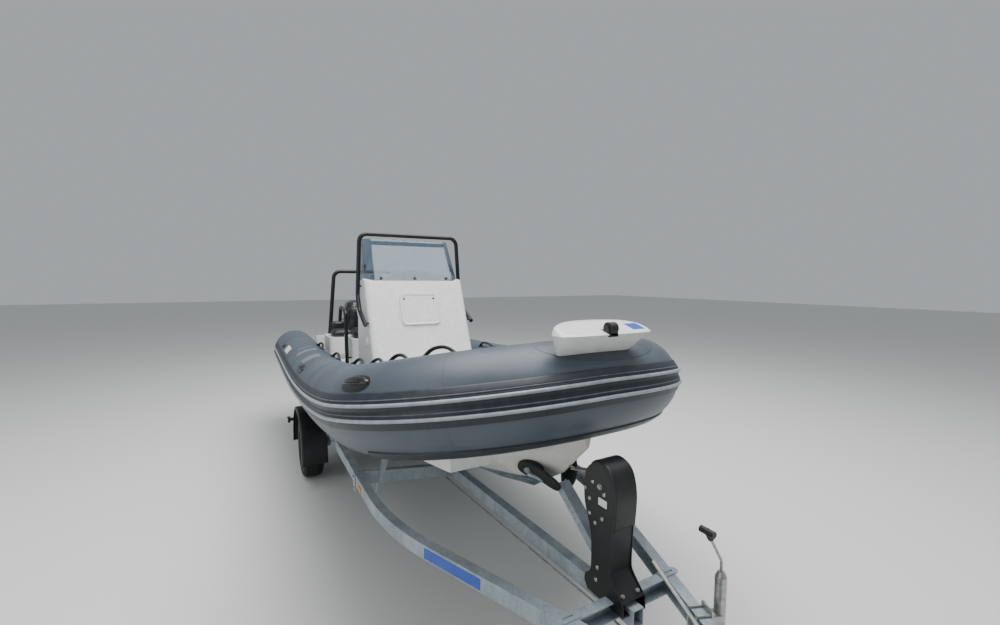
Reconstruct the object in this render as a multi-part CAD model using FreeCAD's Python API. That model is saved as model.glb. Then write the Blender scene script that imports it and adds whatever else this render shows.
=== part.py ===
import FreeCAD, Part
import math
import os

# Rigid inflatable boat lying on its galvanised road trailer.
# Millimetres. +X to the bow and the tow coupling, +Y to port, +Z up. The origin is on the ground,
# at the middle of the whole outfit.

Vec = FreeCAD.Vector
UP = Vec(0, 0, 1)
os.makedirs("parts", exist_ok=True)

# Clearances between pieces
SEAT_GAP = 0.3          # paint and fit between two pieces that rest on each other
RUN_GAP = 0.1           # radial play of a wheel or roller on its pin

# Trailer frame
RAIL_TOP = 550.0        # ground to the frame's upper face
RAIL_HEIGHT = 80.0
RAIL_FLANGE = 54.0
RAIL_WALL = 5.0
RAIL_HALF = 766.0       # centreline to the rail's outer face, along the straight
RAIL_REAR_X = -2560.0
RAIL_FRONT_X = 2690.0
NECK_END_HALF = 101.5   # centreline to the rail's outer face, at its front end
NECK_ANGLE = 21.35
NECK_BEND_R = 2000.0
CROSS_DEPTH = 50.0      # flange of a crossmember
CROSS_HEIGHT = 90.0
CROSS_WALL = 5.0
CROSS_DROP = 80.0       # how far the V of a crossmember lies below the rails at the centreline
CROSS_X = {"mid": 200.0, "aft": -620.0, "rear": -2350.0}
FRONT_CROSS_X = 2070.0  # rear face of the front crossmember
TAB_LENGTH = 120.0
TAB_WIDTH = 44.0
TAB_THICK = 6.0
BEAM_WIDTH = 60.0
BEAM_HEIGHT = 80.0
BEAM_WALL = 4.0
BEAM_FRONT_X = 2195.0
CLAMP_WALL = 6.0
CLAMP_LENGTH = 56.0
CLAMP_DROP = 42.0       # how far the clamp plate hangs below the rail

# Running gear
WHEEL_X = -1260.0
WHEEL_Y = RAIL_HALF + 117.0
TYRE_R = 294.5
TYRE_WIDTH = 185.0
BEAD_R = 168.0
RIM_WALL = 5.0
DRUM_R = 112.0
SPINDLE_R = 17.0
AXLE_SIZE = 70.0
AXLE_X = -1100.0
ARM_WIDTH = 26.0
ARM_Y = RAIL_HALF - 60.0    # inner face of the trailing arm
GUARD_INNER_Y = RAIL_HALF + 15.0
GUARD_WIDTH = 226.0
GUARD_CLEAR = 105.0     # tyre tread to the guard's underside
GUARD_WALL = 4.0

# Drawbar
HOUSING_LENGTH = 420.0
HOUSING_WIDTH = 84.0
DRAW_TUBE_R = 25.0
NOSE_X = 3450.0         # front of the coupling head
BALL_R = 25.0
BALL_CLEAR = 0.4

# Jockey wheel
JOCKEY_X = 2350.0
JOCKEY_TUBE_R = 24.0
JOCKEY_TUBE_WALL = 3.0
JOCKEY_WHEEL_R = 100.0
JOCKEY_WHEEL_WIDTH = 55.0
JOCKEY_TRAIL = 48.0
JOCKEY_TUBE_LOW = 395.0
JOCKEY_TUBE_HIGH = 700.0

# Inflatable collar
COLLAR_R = 237.0
COLLAR_HALF = 841.0     # centreline to the tube's axis, along the straight
COLLAR_AXIS_Z = 1018.0  # height of the tube's axis at the stern
COLLAR_RISE = 401.0     # how much higher the axis is at the nose
COLLAR_RISE_POWER = 2.1
COLLAR_RISE_X = -1400.0
COLLAR_STERN_X = -3080.0
COLLAR_BEND_X = 920.0   # where the straight ends and the bow curve starts
COLLAR_NOSE_X = 1762.0
COLLAR_CURVE = 2.31     # exponent of the bow's plan curve, 2 would be an ellipse
CONE_LENGTH = 370.0
CONE_TIP_R = 70.0
STRAKE_THICK = 14.0
STRAKE_RIDGE = 11.0
FENDER_X = 1250.0       # the rubbing strip under the bow starts here
FENDER_THICK = 9.0

# Hull and deck
TRANSOM_X = -2950.0
TRANSOM_THICK = 60.0
TRANSOM_TOP = 1190.0
KEEL_Z = 640.0
HULL_TOP = 900.0
DECK_TOP = 980.0

# Console
CONSOLE_HALF = 475.0
CONSOLE_WALL = 10.0
CONSOLE_TOP = DECK_TOP + 946.0
CONSOLE_FRONT_X = -246.0    # front face at the deck
CONSOLE_TOP_X = -625.0      # front face at the top edge
CONSOLE_BACK_X = -950.0
CONSOLE_DASH_Z = CONSOLE_TOP - 286.0    # lower edge of the sloping dash
CONSOLE_ROUND = 45.0
HATCH_WIDTH = 370.0
HATCH_LENGTH = 300.0
HATCH_LOW = 590.0           # up the front face from the deck to the hatch's lower edge
HATCH_THICK = 12.0
HATCH_OVERLAP = 22.0
HINGE_PIN_R = 3.5
HINGE_R = 7.0
SCREEN_THICK = 6.0
SCREEN_LOW = CONSOLE_TOP + 5.0
SCREEN_HEIGHT = 394.0
SCREEN_RAKE = 210.0         # how far aft the screen leans
SCREEN_WING = 250.0
HOOP_R = 19.0
HOOP_HALF = 509.0
HOOP_X = CONSOLE_TOP_X - 145.0
HOOP_TOP = SCREEN_LOW + SCREEN_HEIGHT + 35.0
HELM_R = 170.0
HELM_Y = -215.0

# Seats
SEAT_HALF = 450.0
SEAT_FRONT_X = -1300.0
SEAT_BACK_X = -1800.0
SEAT_BASE_TOP = DECK_TOP + 340.0
SEAT_RAIL_R = 18.0
CUSHION_THICK = 100.0
BACKREST_TOP = SEAT_BASE_TOP + 345.0
BACKREST_THICK = 130.0
BENCH_HALF = 540.0
BENCH_FRONT_X = -2140.0
BENCH_BACK_X = -2600.0
BENCH_TOP = DECK_TOP + 265.0
BENCH_CUSHION = 80.0
BENCH_BACK_TOP = BENCH_TOP + 185.0
ARCH_X = -2700.0
ARCH_HALF_TOP = 385.0
ARCH_HALF_FOOT = 455.0
ARCH_TOP = 2040.0
ARCH_R = 24.0

# Bow fittings
LOCKER_FRONT_X = 1280.0
LOCKER_BACK_X = 700.0
LOCKER_HALF = 380.0
LOCKER_TOP = DECK_TOP + 225.0
LOCKER_WALL = 15.0
LID_THICK = 14.0
STEP_TOP = 1756.0
STEP_KNUCKLE = 48.0     # from the top down to the widest outline
STEP_FRONT_X = 2010.0
STEP_SLOPE = 0.31       # fall of the upper face towards the nose
STEP_SEAT = 165.0       # from the top down into the tube
ROLLER_R = 28.0

# Outboard engine
TILT_X = -3035.0
TILT_Z = 1215.0
STEER_X = -3112.0
COWL_HALF = 175.0
COWL_TOP = 1640.0
COWL_REAR_X = -3444.0
PROP_Z = 560.0
PROP_SHAFT_R = 12.0
PROP_R = 160.0


def block(x0, x1, y0, y1, z0, z1):
    return Part.makeBox(x1 - x0, y1 - y0, z1 - z0, Vec(x0, y0, z0))


def rod(start, end, radius):
    """Round bar from one point to another."""
    along = end - start
    return Part.makeCylinder(radius, along.Length, start, along)


def plate(points, pull):
    """Flat outline through the points, pulled along a vector."""
    return Part.Face(Part.makePolygon(points + [points[0]])).extrude(pull)


def side_plate(outline, y0, y1):
    """Outline of (x, z) pairs, pulled across from y0 to y1."""
    return plate([Vec(x, y0, z) for x, z in outline], Vec(0, y1 - y0, 0))


def fused(pieces):
    result = pieces[0].multiFuse(pieces[1:]) if len(pieces) > 1 else pieces[0]
    return result.removeSplitter()


def mirrored(shape):
    return shape.mirror(Vec(0, 0, 0), Vec(0, 1, 0))


def pair(shape):
    """A starboard shape and its mirror image to port."""
    return Part.makeCompound([shape, mirrored(shape)])


def ring(outer, inner, start, along, length):
    tube = Part.makeCylinder(outer, length, start, along)
    return tube.cut(Part.makeCylinder(inner, length, start, along))


def turned(profile, centre_y):
    """Solid of revolution about the wheel's axis; profile is (y from the wheel's middle, radius)."""
    points = [Vec(WHEEL_X, centre_y + y, TYRE_R + r) for y, r in profile]
    face = Part.Face(Part.makePolygon(points + [points[0]]))
    return face.revolve(Vec(WHEEL_X, centre_y, TYRE_R), Vec(0, 1, 0), 360)


def bent_bar(points, radius, bend):
    """Tube of straight runs joined by arcs of one bend radius."""
    edges = []
    start = points[0]
    for before, corner, after in zip(points, points[1:], points[2:]):
        back = (before - corner).normalize()
        on = (after - corner).normalize()
        half = math.acos(max(-1.0, min(1.0, back.dot(on)))) / 2
        reach = bend / math.tan(half)
        enter = corner + back * reach
        leave = corner + on * reach
        middle = corner + (back + on).normalize() * (bend / math.sin(half) - bend)
        if (enter - start).Length > 1e-6:
            edges.append(Part.LineSegment(start, enter).toShape())
        edges.append(Part.Arc(enter, middle, leave).toShape())
        start = leave
    edges.append(Part.LineSegment(start, points[-1]).toShape())
    ring_wire = Part.Wire(Part.Circle(points[0], points[1] - points[0], radius).toShape())
    return Part.Wire(edges).makePipeShell([ring_wire], True, False)


def swept(path, profile):
    """Profile carried along a path of straight runs with mitred corners."""
    return path.makePipeShell([profile], True, False, 1)


def save(name, shape):
    shape.exportStep("parts/" + name + ".step")


# Side rails: C-sections open inwards, straight along the boat and drawn together at the neck

NECK = math.radians(NECK_ANGLE)
# where the straight and the converging outer faces would cross
NECK_CORNER_X = RAIL_FRONT_X - (RAIL_HALF - NECK_END_HALF) / math.tan(NECK)


def rail_outline(inset):
    """Plan points of the port rail at a distance inside its outer face: start, bend, end."""
    corner_x = NECK_CORNER_X - NECK_BEND_R * math.tan(NECK / 2)
    centre = Vec(corner_x, RAIL_HALF - NECK_BEND_R, 0)
    radius = NECK_BEND_R - inset
    enter = centre + Vec(0, radius, 0)
    middle = centre + Vec(math.sin(NECK / 2), math.cos(NECK / 2), 0) * radius
    leave = centre + Vec(math.sin(NECK), math.cos(NECK), 0) * radius
    end_y = leave.y - (RAIL_FRONT_X - leave.x) * math.tan(NECK)
    return Vec(RAIL_REAR_X, RAIL_HALF - inset, 0), enter, middle, leave, Vec(RAIL_FRONT_X, end_y, 0)


def rail_strip(outer, inner, low, high):
    """Part of the rail between two insets and two heights."""
    a0, a1, am, a2, a3 = rail_outline(outer)
    b0, b1, bm, b2, b3 = rail_outline(inner)
    wire = Part.Wire([
        Part.LineSegment(a0, a1).toShape(), Part.Arc(a1, am, a2).toShape(),
        Part.LineSegment(a2, a3).toShape(), Part.LineSegment(a3, b3).toShape(),
        Part.LineSegment(b3, b2).toShape(), Part.Arc(b2, bm, b1).toShape(),
        Part.LineSegment(b1, b0).toShape(), Part.LineSegment(b0, a0).toShape()])
    face = Part.Face(wire)
    face.translate(Vec(0, 0, low))
    return face.extrude(Vec(0, 0, high - low))


def rail_y(x):
    """Outer face of the port rail at a place along the neck."""
    leave = rail_outline(0)[3]
    return leave.y - (x - leave.x) * math.tan(NECK)


RAIL_LOW = RAIL_TOP - RAIL_HEIGHT
rail = fused([
    rail_strip(0, RAIL_WALL, RAIL_LOW, RAIL_TOP),
    rail_strip(RAIL_WALL, RAIL_FLANGE, RAIL_TOP - RAIL_WALL, RAIL_TOP),
    rail_strip(RAIL_WALL, RAIL_FLANGE, RAIL_LOW, RAIL_LOW + RAIL_WALL)])
save("side_rails", pair(rail))
rail_fill = rail_strip(-300, RAIL_FLANGE, RAIL_LOW - 200, RAIL_TOP + 200)
outside_rails = rail_fill.fuse(mirrored(rail_fill))


# Centre beam: box section from the V of the mid crossmember up to the front crossmember

CROSS_LOW_TOP = RAIL_TOP - CROSS_DROP
BEAM_REAR_X = CROSS_X["mid"] + CROSS_DEPTH
BEAM_REAR_TOP = CROSS_LOW_TOP - 2.0
BEAM_FRONT_TOP = RAIL_TOP - CROSS_WALL - SEAT_GAP


def beam_solid(half, trim, reach):
    """Beam envelope: half width, thickness taken off above and below, extra length at both ends."""
    rise = (BEAM_FRONT_TOP - BEAM_REAR_TOP) / (BEAM_FRONT_X - BEAM_REAR_X)
    x0, x1 = BEAM_REAR_X - reach, BEAM_FRONT_X + reach
    top0, top1 = BEAM_REAR_TOP - reach * rise, BEAM_FRONT_TOP + reach * rise
    outline = [(x0, top0 - BEAM_HEIGHT + trim), (x1, top1 - BEAM_HEIGHT + trim),
               (x1, top1 - trim), (x0, top0 - trim)]
    return side_plate(outline, -half, half)


beam = beam_solid(BEAM_WIDTH / 2, 0, 0).cut(beam_solid(BEAM_WIDTH / 2 - BEAM_WALL, BEAM_WALL, 30))
save("centre_beam", beam)
beam_room = beam_solid(BEAM_WIDTH / 2 + SEAT_GAP, -SEAT_GAP, 30)


def beam_top(x):
    part = (x - BEAM_REAR_X) / (BEAM_FRONT_X - BEAM_REAR_X)
    return BEAM_REAR_TOP + part * (BEAM_FRONT_TOP - BEAM_REAR_TOP)


# Crossmembers: a straight one at the winch post and three with a V that clears the keel

front_x1 = FRONT_CROSS_X + CROSS_DEPTH
front_cross = block(FRONT_CROSS_X, front_x1, -400, 400, RAIL_LOW, RAIL_TOP).cut(
    block(FRONT_CROSS_X + CROSS_WALL, front_x1, -400, 400, RAIL_LOW + CROSS_WALL, RAIL_TOP - CROSS_WALL))
front_cross = front_cross.cut(outside_rails).cut(beam_room)
tab_y = rail_y(front_x1) - RAIL_FLANGE / 2
tab = block(FRONT_CROSS_X + 3, FRONT_CROSS_X + 3 + TAB_WIDTH, tab_y - TAB_LENGTH / 2 + 10,
            tab_y + TAB_LENGTH / 2, RAIL_TOP, RAIL_TOP + TAB_THICK)
tab = tab.makeFillet(TAB_WIDTH / 2 - 1, [e for e in tab.Edges
                                        if abs(e.tangentAt(e.FirstParameter).z) > 0.9
                                        and e.BoundBox.YMin > tab_y])
tab = tab.cut(block(FRONT_CROSS_X + 19, FRONT_CROSS_X + 31, tab_y - 20, tab_y + 30,
                    RAIL_TOP - 1, RAIL_TOP + TAB_THICK + 1))
front_cross = fused([front_cross, tab, mirrored(tab)])


def v_cross(x):
    """C-section crossmember whose top edge runs down from the rails to the centreline."""
    edge = RAIL_HALF - RAIL_FLANGE
    shoulder = edge - 60

    def outline(trim):
        high = [Vec(x, -edge, RAIL_TOP - trim), Vec(x, -shoulder, RAIL_TOP - trim),
                Vec(x, 0, CROSS_LOW_TOP - trim), Vec(x, shoulder, RAIL_TOP - trim),
                Vec(x, edge, RAIL_TOP - trim)]
        low = [p - Vec(0, 0, CROSS_HEIGHT - 2 * trim) for p in reversed(high)]
        return high + low

    outer = plate(outline(0), Vec(CROSS_DEPTH, 0, 0))
    inner = plate(outline(CROSS_WALL), Vec(CROSS_DEPTH, 0, 0))
    inner.translate(Vec(-CROSS_WALL, 0, 0))
    return outer.cut(inner)


save("crossmembers", Part.makeCompound([front_cross] + [v_cross(x) for x in CROSS_X.values()]))


# Rail clamps: a plate down the rail's outer face, a cap over it and a foot under it

clamps = []
for x in CROSS_X.values():
    y0 = -RAIL_HALF - SEAT_GAP
    low = RAIL_LOW - CLAMP_DROP
    face = block(x - 3, x - 3 + CLAMP_LENGTH, y0 - CLAMP_WALL, y0, low, RAIL_TOP + CLAMP_WALL)
    cap = block(x - 3, x - 3 + CLAMP_LENGTH, y0, y0 + 90, RAIL_TOP + SEAT_GAP,
                RAIL_TOP + CLAMP_WALL)
    clamps.append(mirrored(fused([face, cap])))


# Hull supports: keel rollers in forks, and padded bunks on leaning posts

KEEL_ROLLER_R = 52.0
KEEL_ROLLER_HALF = 55.0
FORK_WALL = 6.0
roller_z = KEEL_Z - KEEL_ROLLER_R - SEAT_GAP
rollers = []
forks = []
for x in CROSS_X.values():
    mid_x = x + CROSS_DEPTH / 2
    axis = Vec(mid_x, -KEEL_ROLLER_HALF, roller_z)
    body = Part.makeCylinder(KEEL_ROLLER_R, 2 * KEEL_ROLLER_HALF, axis, Vec(0, 1, 0))
    bore = Part.makeCylinder(9 + RUN_GAP, 2 * KEEL_ROLLER_HALF, axis, Vec(0, 1, 0))
    rollers.append(body.cut(bore))
    pin_end = KEEL_ROLLER_HALF + 5 + FORK_WALL
    pin = Part.makeCylinder(9, 2 * pin_end, Vec(mid_x, -pin_end, roller_z), Vec(0, 1, 0))
    ears = []
    for side in (-1, 1):
        y0 = side * (KEEL_ROLLER_HALF + 5)
        y1 = y0 + side * FORK_WALL
        ear = side_plate([(mid_x - 22, CROSS_LOW_TOP + 10), (mid_x + 22, CROSS_LOW_TOP + 10),
                          (mid_x + 18, roller_z + 22), (mid_x - 18, roller_z + 22)],
                         min(y0, y1), max(y0, y1))
        ears.append(ear)
    base_z = CROSS_LOW_TOP + CROSS_DROP * pin_end / (RAIL_HALF - RAIL_FLANGE - 60) + SEAT_GAP
    base = block(mid_x - 22, mid_x + 22, -pin_end, pin_end, base_z, base_z + 6)
    forks.append(fused(ears + [base, pin]))
save("keel_rollers", Part.makeCompound(rollers))
save("roller_forks", Part.makeCompound(forks))


# Hull: deep V with hard chines, lofted through flat-sided sections

# x of the section, keel height, chine (y, z), gunwale (y, z)
HULL_SECTIONS = (
    (TRANSOM_X, KEEL_Z, 610, 795, 740, 840),
    (-1200.0, KEEL_Z, 610, 797, 740, 842),
    (300.0, KEEL_Z + 5, 575, 868, 735, 945),
    (1000.0, KEEL_Z + 32, 465, 935, 680, 1060),
    (1400.0, KEEL_Z + 130, 300, 1000, 560, 1170),
    (1660.0, KEEL_Z + 305, 120, 1085, 380, 1240),
    (1850.0, KEEL_Z + 500, 22, 1200, 150, 1290),
)


def hull_wire(x, keel, chine_y, chine_z, sheer_y, sheer_z):
    flat = 8.0
    top = max(HULL_TOP, sheer_z + 5)
    points = [Vec(x, flat, keel), Vec(x, chine_y, chine_z), Vec(x, chine_y + 14, chine_z + 4),
              Vec(x, sheer_y, sheer_z), Vec(x, sheer_y, top)]
    points += [Vec(p.x, -p.y, p.z) for p in reversed(points)]
    return Part.makePolygon(points + [points[0]])


def collar_axis(x):
    """Height of the tube's axis at a place along the boat."""
    part = max(0.0, (x - COLLAR_RISE_X) / (COLLAR_NOSE_X - COLLAR_RISE_X))
    return COLLAR_AXIS_Z + COLLAR_RISE * part ** COLLAR_RISE_POWER


def collar_points():
    """Axis of the starboard half of the collar, from the stern to the middle of the bow."""
    half = []
    for x in (COLLAR_STERN_X, COLLAR_RISE_X, -600.0, 200.0):
        half.append(Vec(x, -COLLAR_HALF, collar_axis(x)))
    for angle in (0, 10, 20, 30, 39, 48, 57, 66, 74, 82):
        a = math.radians(angle)
        x = COLLAR_BEND_X + (COLLAR_NOSE_X - COLLAR_BEND_X) * math.sin(a) ** (2 / COLLAR_CURVE)
        y = COLLAR_HALF * math.cos(a) ** (2 / COLLAR_CURVE)
        half.append(Vec(x, -y, collar_axis(x)))
    return half + [Vec(half[-1].x, 0, half[-1].z)]


AXIS = collar_points()
collar_path = Part.makePolygon(AXIS)
start_circle = Part.Wire(Part.Circle(AXIS[0], Vec(1, 0, 0), COLLAR_R).toShape())
collar_tube = swept(collar_path, start_circle)
cone = Part.makeCone(COLLAR_R, CONE_TIP_R, CONE_LENGTH, AXIS[0], Vec(-1, 0, 0))
collar_half = collar_tube.fuse(cone)
collar = fused([collar_half, mirrored(collar_half)])
save("collar", collar)


def strake_part(inner, outer, low_angle, high_angle):
    """Band on the tube's outer side between two radii and two angles above the horizontal."""
    def at(radius, angle):
        a = math.radians(angle)
        return AXIS[0] + Vec(0, -math.cos(a), math.sin(a)) * radius
    middle = (low_angle + high_angle) / 2
    wire = Part.Wire([
        Part.Arc(at(inner, low_angle), at(inner, middle), at(inner, high_angle)).toShape(),
        Part.LineSegment(at(inner, high_angle), at(outer, high_angle)).toShape(),
        Part.Arc(at(outer, high_angle), at(outer, middle), at(outer, low_angle)).toShape(),
        Part.LineSegment(at(outer, low_angle), at(inner, low_angle)).toShape()])
    half = swept(collar_path, wire)
    return fused([half, mirrored(half)])


strake_in = COLLAR_R + SEAT_GAP
strake_out = strake_in + STRAKE_THICK
band = strake_part(strake_in, strake_out, -16, 26)
upper_ridge = strake_part(strake_out, strake_out + STRAKE_RIDGE, 8.5, 13.5)
lower_ridge = strake_part(strake_out, strake_out + STRAKE_RIDGE, -6.5, -1.5)
fender_room = block(FENDER_X, 2400, -1300, 1300, 0, 2000)
fender = strake_part(strake_in, strake_in + FENDER_THICK, -78, -50).common(fender_room)
save("strakes", Part.makeCompound([band, fender]))
save("strake_ridges", Part.makeCompound([upper_ridge, lower_ridge]))

# half width of the cockpit's recess in the hull, by place along the boat
RECESS = ((TRANSOM_X + TRANSOM_THICK, 604), (300, 604), (1000, 570), (LOCKER_FRONT_X + 10, 480))


def recess(shrink, low, high):
    """Cockpit recess, its walls drawn in by some amount, between two heights."""
    half = [Vec(x, y - shrink, low) for x, y in RECESS]
    half[0].x += shrink
    half[-1].x -= shrink
    points = half + [Vec(p.x, -p.y, low) for p in reversed(half)]
    return plate(points, Vec(0, 0, high - low))


hull_block = Part.makeLoft([hull_wire(*row) for row in HULL_SECTIONS], True, True)
hull = hull_block.cut(collar).cut(recess(0, HULL_TOP, 1500))
hull = max(hull.Solids, key=lambda s: s.Volume)
save("hull", hull)


# Side posts and bunks: posts lean in to the hull from each V crossmember, long padded boards on top

BUNK_WIDTH = 70.0
BUNK_THICK = 45.0
BUNK_FRONT_X = -240.0
BUNK_REAR_X = -2520.0
BUNK_Y = 420.0
POST_SIZE = 34.0
PAD_LENGTH = 190.0
SIDE_POST_Y = 585.0
SIDE_POST_LEAN = 12.0
PRESS = 2.5             # how far the soft faces are pressed in by the hull


def hull_bottom(x, y):
    """Height of the hull's bottom at a place between keel and chine."""
    for row, after in zip(HULL_SECTIONS, HULL_SECTIONS[1:]):
        if x <= after[0]:
            part = (x - row[0]) / (after[0] - row[0])
            keel, chine_y, chine_z = (row[k] + part * (after[k] - row[k]) for k in (1, 2, 3))
            return keel + (y - 8.0) * (chine_z - keel) / (chine_y - 8.0)
    return KEEL_Z


def cross_top(y):
    """Height of a V crossmember's upper edge at a place across the frame."""
    shoulder = RAIL_HALF - RAIL_FLANGE - 60
    return RAIL_TOP - CROSS_DROP * max(0.0, 1 - y / shoulder)


bunk_z = hull_bottom(-1200, BUNK_Y) + PRESS
bunk_tilt = math.atan2(hull_bottom(-1200, BUNK_Y + 50) - hull_bottom(-1200, BUNK_Y), 50)
across = Vec(0, math.cos(bunk_tilt), math.sin(bunk_tilt))
down = Vec(0, math.sin(bunk_tilt), -math.cos(bunk_tilt))
bunk_top = Vec(BUNK_REAR_X, BUNK_Y, bunk_z)
corners = [bunk_top + across * a + down * d
           for a, d in ((-BUNK_WIDTH / 2, 0), (BUNK_WIDTH / 2, 0),
                        (BUNK_WIDTH / 2, BUNK_THICK), (-BUNK_WIDTH / 2, BUNK_THICK))]
bunk = plate(corners, Vec(BUNK_FRONT_X - BUNK_REAR_X, 0, 0))
save("bunks", pair(bunk.cut(hull)))

posts = []
for name in ("aft", "rear"):
    x0 = CROSS_X[name] + CROSS_DEPTH + SEAT_GAP
    foot = cross_top(BUNK_Y) - CROSS_HEIGHT + 5
    head = bunk_top + down * (BUNK_THICK + SEAT_GAP)
    column = block(x0, x0 + 6, BUNK_Y - POST_SIZE / 2, BUNK_Y + POST_SIZE / 2, foot, head.z + 20)
    shelf = plate([p + down * (SEAT_GAP) for p in (corners[3], corners[2])]
                  + [p + down * (SEAT_GAP + 6) for p in (corners[2], corners[3])], Vec(80, 0, 0))
    shelf.translate(Vec(x0 - BUNK_REAR_X, 0, 0))
    trim = plate([corners[3] + down * SEAT_GAP - across * 30, corners[2] + down * SEAT_GAP + across * 30,
                  corners[2] - down * 90 + across * 30, corners[3] - down * 90 - across * 30],
                 Vec(BUNK_FRONT_X - BUNK_REAR_X, 0, 0))
    posts.append(fused([column.cut(trim), shelf]))
lean = math.radians(SIDE_POST_LEAN)
post_up = Vec(0, -math.sin(lean), math.cos(lean))
post_mid = Vec(CROSS_X["mid"] + CROSS_DEPTH + SEAT_GAP, SIDE_POST_Y, RAIL_TOP - 40)
post_side = Vec(0, math.cos(lean), math.sin(lean)) * (POST_SIZE / 2)
post_low = post_mid - post_up * 130
post_high = post_mid + post_up * (hull_bottom(CROSS_X["mid"], 540) - RAIL_TOP - 20)
side_post = plate([post_low - post_side, post_low + post_side, post_high + post_side,
                   post_high - post_side], Vec(POST_SIZE, 0, 0))
side_core = plate([post_low - post_side * 0.76 - post_up * 10, post_low + post_side * 0.76 - post_up * 10,
                   post_high + post_side * 0.76 + post_up * 10,
                   post_high - post_side * 0.76 + post_up * 10], Vec(POST_SIZE - 8, 0, 0))
side_core.translate(Vec(4, 0, 0))
posts.append(side_post.cut(side_core))
save("support_posts", Part.makeCompound(posts + [mirrored(p) for p in posts]))

pad_y = 540.0
pad_slope = math.atan2(hull_bottom(200, pad_y + 30) - hull_bottom(200, pad_y - 30), 60)
pad_across = Vec(0, math.cos(pad_slope), math.sin(pad_slope))
pad_down = Vec(0, math.sin(pad_slope), -math.cos(pad_slope))
pad_x = post_mid.x + POST_SIZE / 2 - PAD_LENGTH / 2
pad_top = Vec(pad_x, pad_y, hull_bottom(CROSS_X["mid"], pad_y) + PRESS)
pad = plate([pad_top - pad_across * 45, pad_top + pad_across * 45,
             pad_top + pad_across * 45 + pad_down * 30, pad_top - pad_across * 45 + pad_down * 30],
            Vec(PAD_LENGTH, 0, 0)).cut(hull)


# Axle: square beam under the rails, a trailing arm and a spindle at each end

axle_top = RAIL_LOW - SEAT_GAP
beam_z = axle_top - AXLE_SIZE / 2 - 8
beam_box = block(AXLE_X - AXLE_SIZE / 2, AXLE_X + AXLE_SIZE / 2, -ARM_Y, ARM_Y,
                 beam_z - AXLE_SIZE / 2, beam_z + AXLE_SIZE / 2)
arm_parts = []
for end_x, end_z, radius in ((AXLE_X, beam_z, 42), (WHEEL_X, TYRE_R, 34)):
    arm_parts.append(Part.makeCylinder(radius, ARM_WIDTH, Vec(end_x, ARM_Y, end_z), Vec(0, 1, 0)))
arm_parts.append(plate([Vec(AXLE_X - 30, ARM_Y, beam_z + 32), Vec(AXLE_X + 20, ARM_Y, beam_z - 39),
                        Vec(WHEEL_X + 14, ARM_Y, TYRE_R - 31), Vec(WHEEL_X - 24, ARM_Y, TYRE_R + 24)],
                       Vec(0, ARM_WIDTH, 0)))
SPINDLE_END = WHEEL_Y + 36.0
spindle = Part.makeCylinder(SPINDLE_R, SPINDLE_END - ARM_Y, Vec(WHEEL_X, ARM_Y, TYRE_R), Vec(0, 1, 0))
saddle = block(AXLE_X - 95, AXLE_X + 95, RAIL_HALF - RAIL_FLANGE - 30, RAIL_HALF - 8,
               axle_top - 8, axle_top)
side_set = fused(arm_parts + [spindle, saddle])
save("axle", fused([beam_box, side_set, mirrored(side_set)]))


# Road wheels: tyre, pressed rim, hub with brake drum

HALF_TREAD = TYRE_WIDTH / 2
RIM_LIP = 12.0
HUB_R = 34.0
# (y from the middle of the wheel, radius) round the tyre's section, outboard is positive
TYRE_PROFILE = ((-62, BEAD_R), (-78, BEAD_R + 22), (-HALF_TREAD, BEAD_R + 62), (-86, TYRE_R - 26),
                (-70, TYRE_R - 6), (-56, TYRE_R), (56, TYRE_R), (70, TYRE_R - 6), (86, TYRE_R - 26),
                (HALF_TREAD, BEAD_R + 62), (78, BEAD_R + 22), (62, BEAD_R))
# the rim's barrel and its dished disc, joined at the outboard side
RIM_BARREL = ((-66, BEAD_R - SEAT_GAP), (-66, BEAD_R - 6), (-50, BEAD_R - 7), (-30, BEAD_R - 24),
              (40, BEAD_R - 24), (50, BEAD_R - 7), (66, BEAD_R - 6), (66, BEAD_R - SEAT_GAP),
              (55, BEAD_R - SEAT_GAP), (55, BEAD_R - 2), (45, BEAD_R - 2), (36, BEAD_R - 19),
              (-26, BEAD_R - 19), (-45, BEAD_R - 2), (-55, BEAD_R - 2), (-55, BEAD_R - SEAT_GAP))
RIM_DISC = ((10, BEAD_R - 24), (14, BEAD_R - 34), (34, 118), (30, 92), (14, 84), (14, HUB_R + SEAT_GAP),
            (20, HUB_R + SEAT_GAP), (20, 82), (36, 90), (40, 118), (22, BEAD_R - 32), (18, BEAD_R - 24))
DRUM = ((-56, SPINDLE_R + RUN_GAP), (-56, HUB_R + 6), (-50, DRUM_R), (-4, DRUM_R), (-4, 82), (13.7, 82),
        (13.7, HUB_R), (34, HUB_R), (48, 26), (48, 0), (37, 0), (37, SPINDLE_R + RUN_GAP))


def wheel_part(profile, side):
    """A profile given for the port wheel, turned for the wheel on that side."""
    return turned([(side * y, r) for y, r in profile], side * WHEEL_Y)


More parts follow.
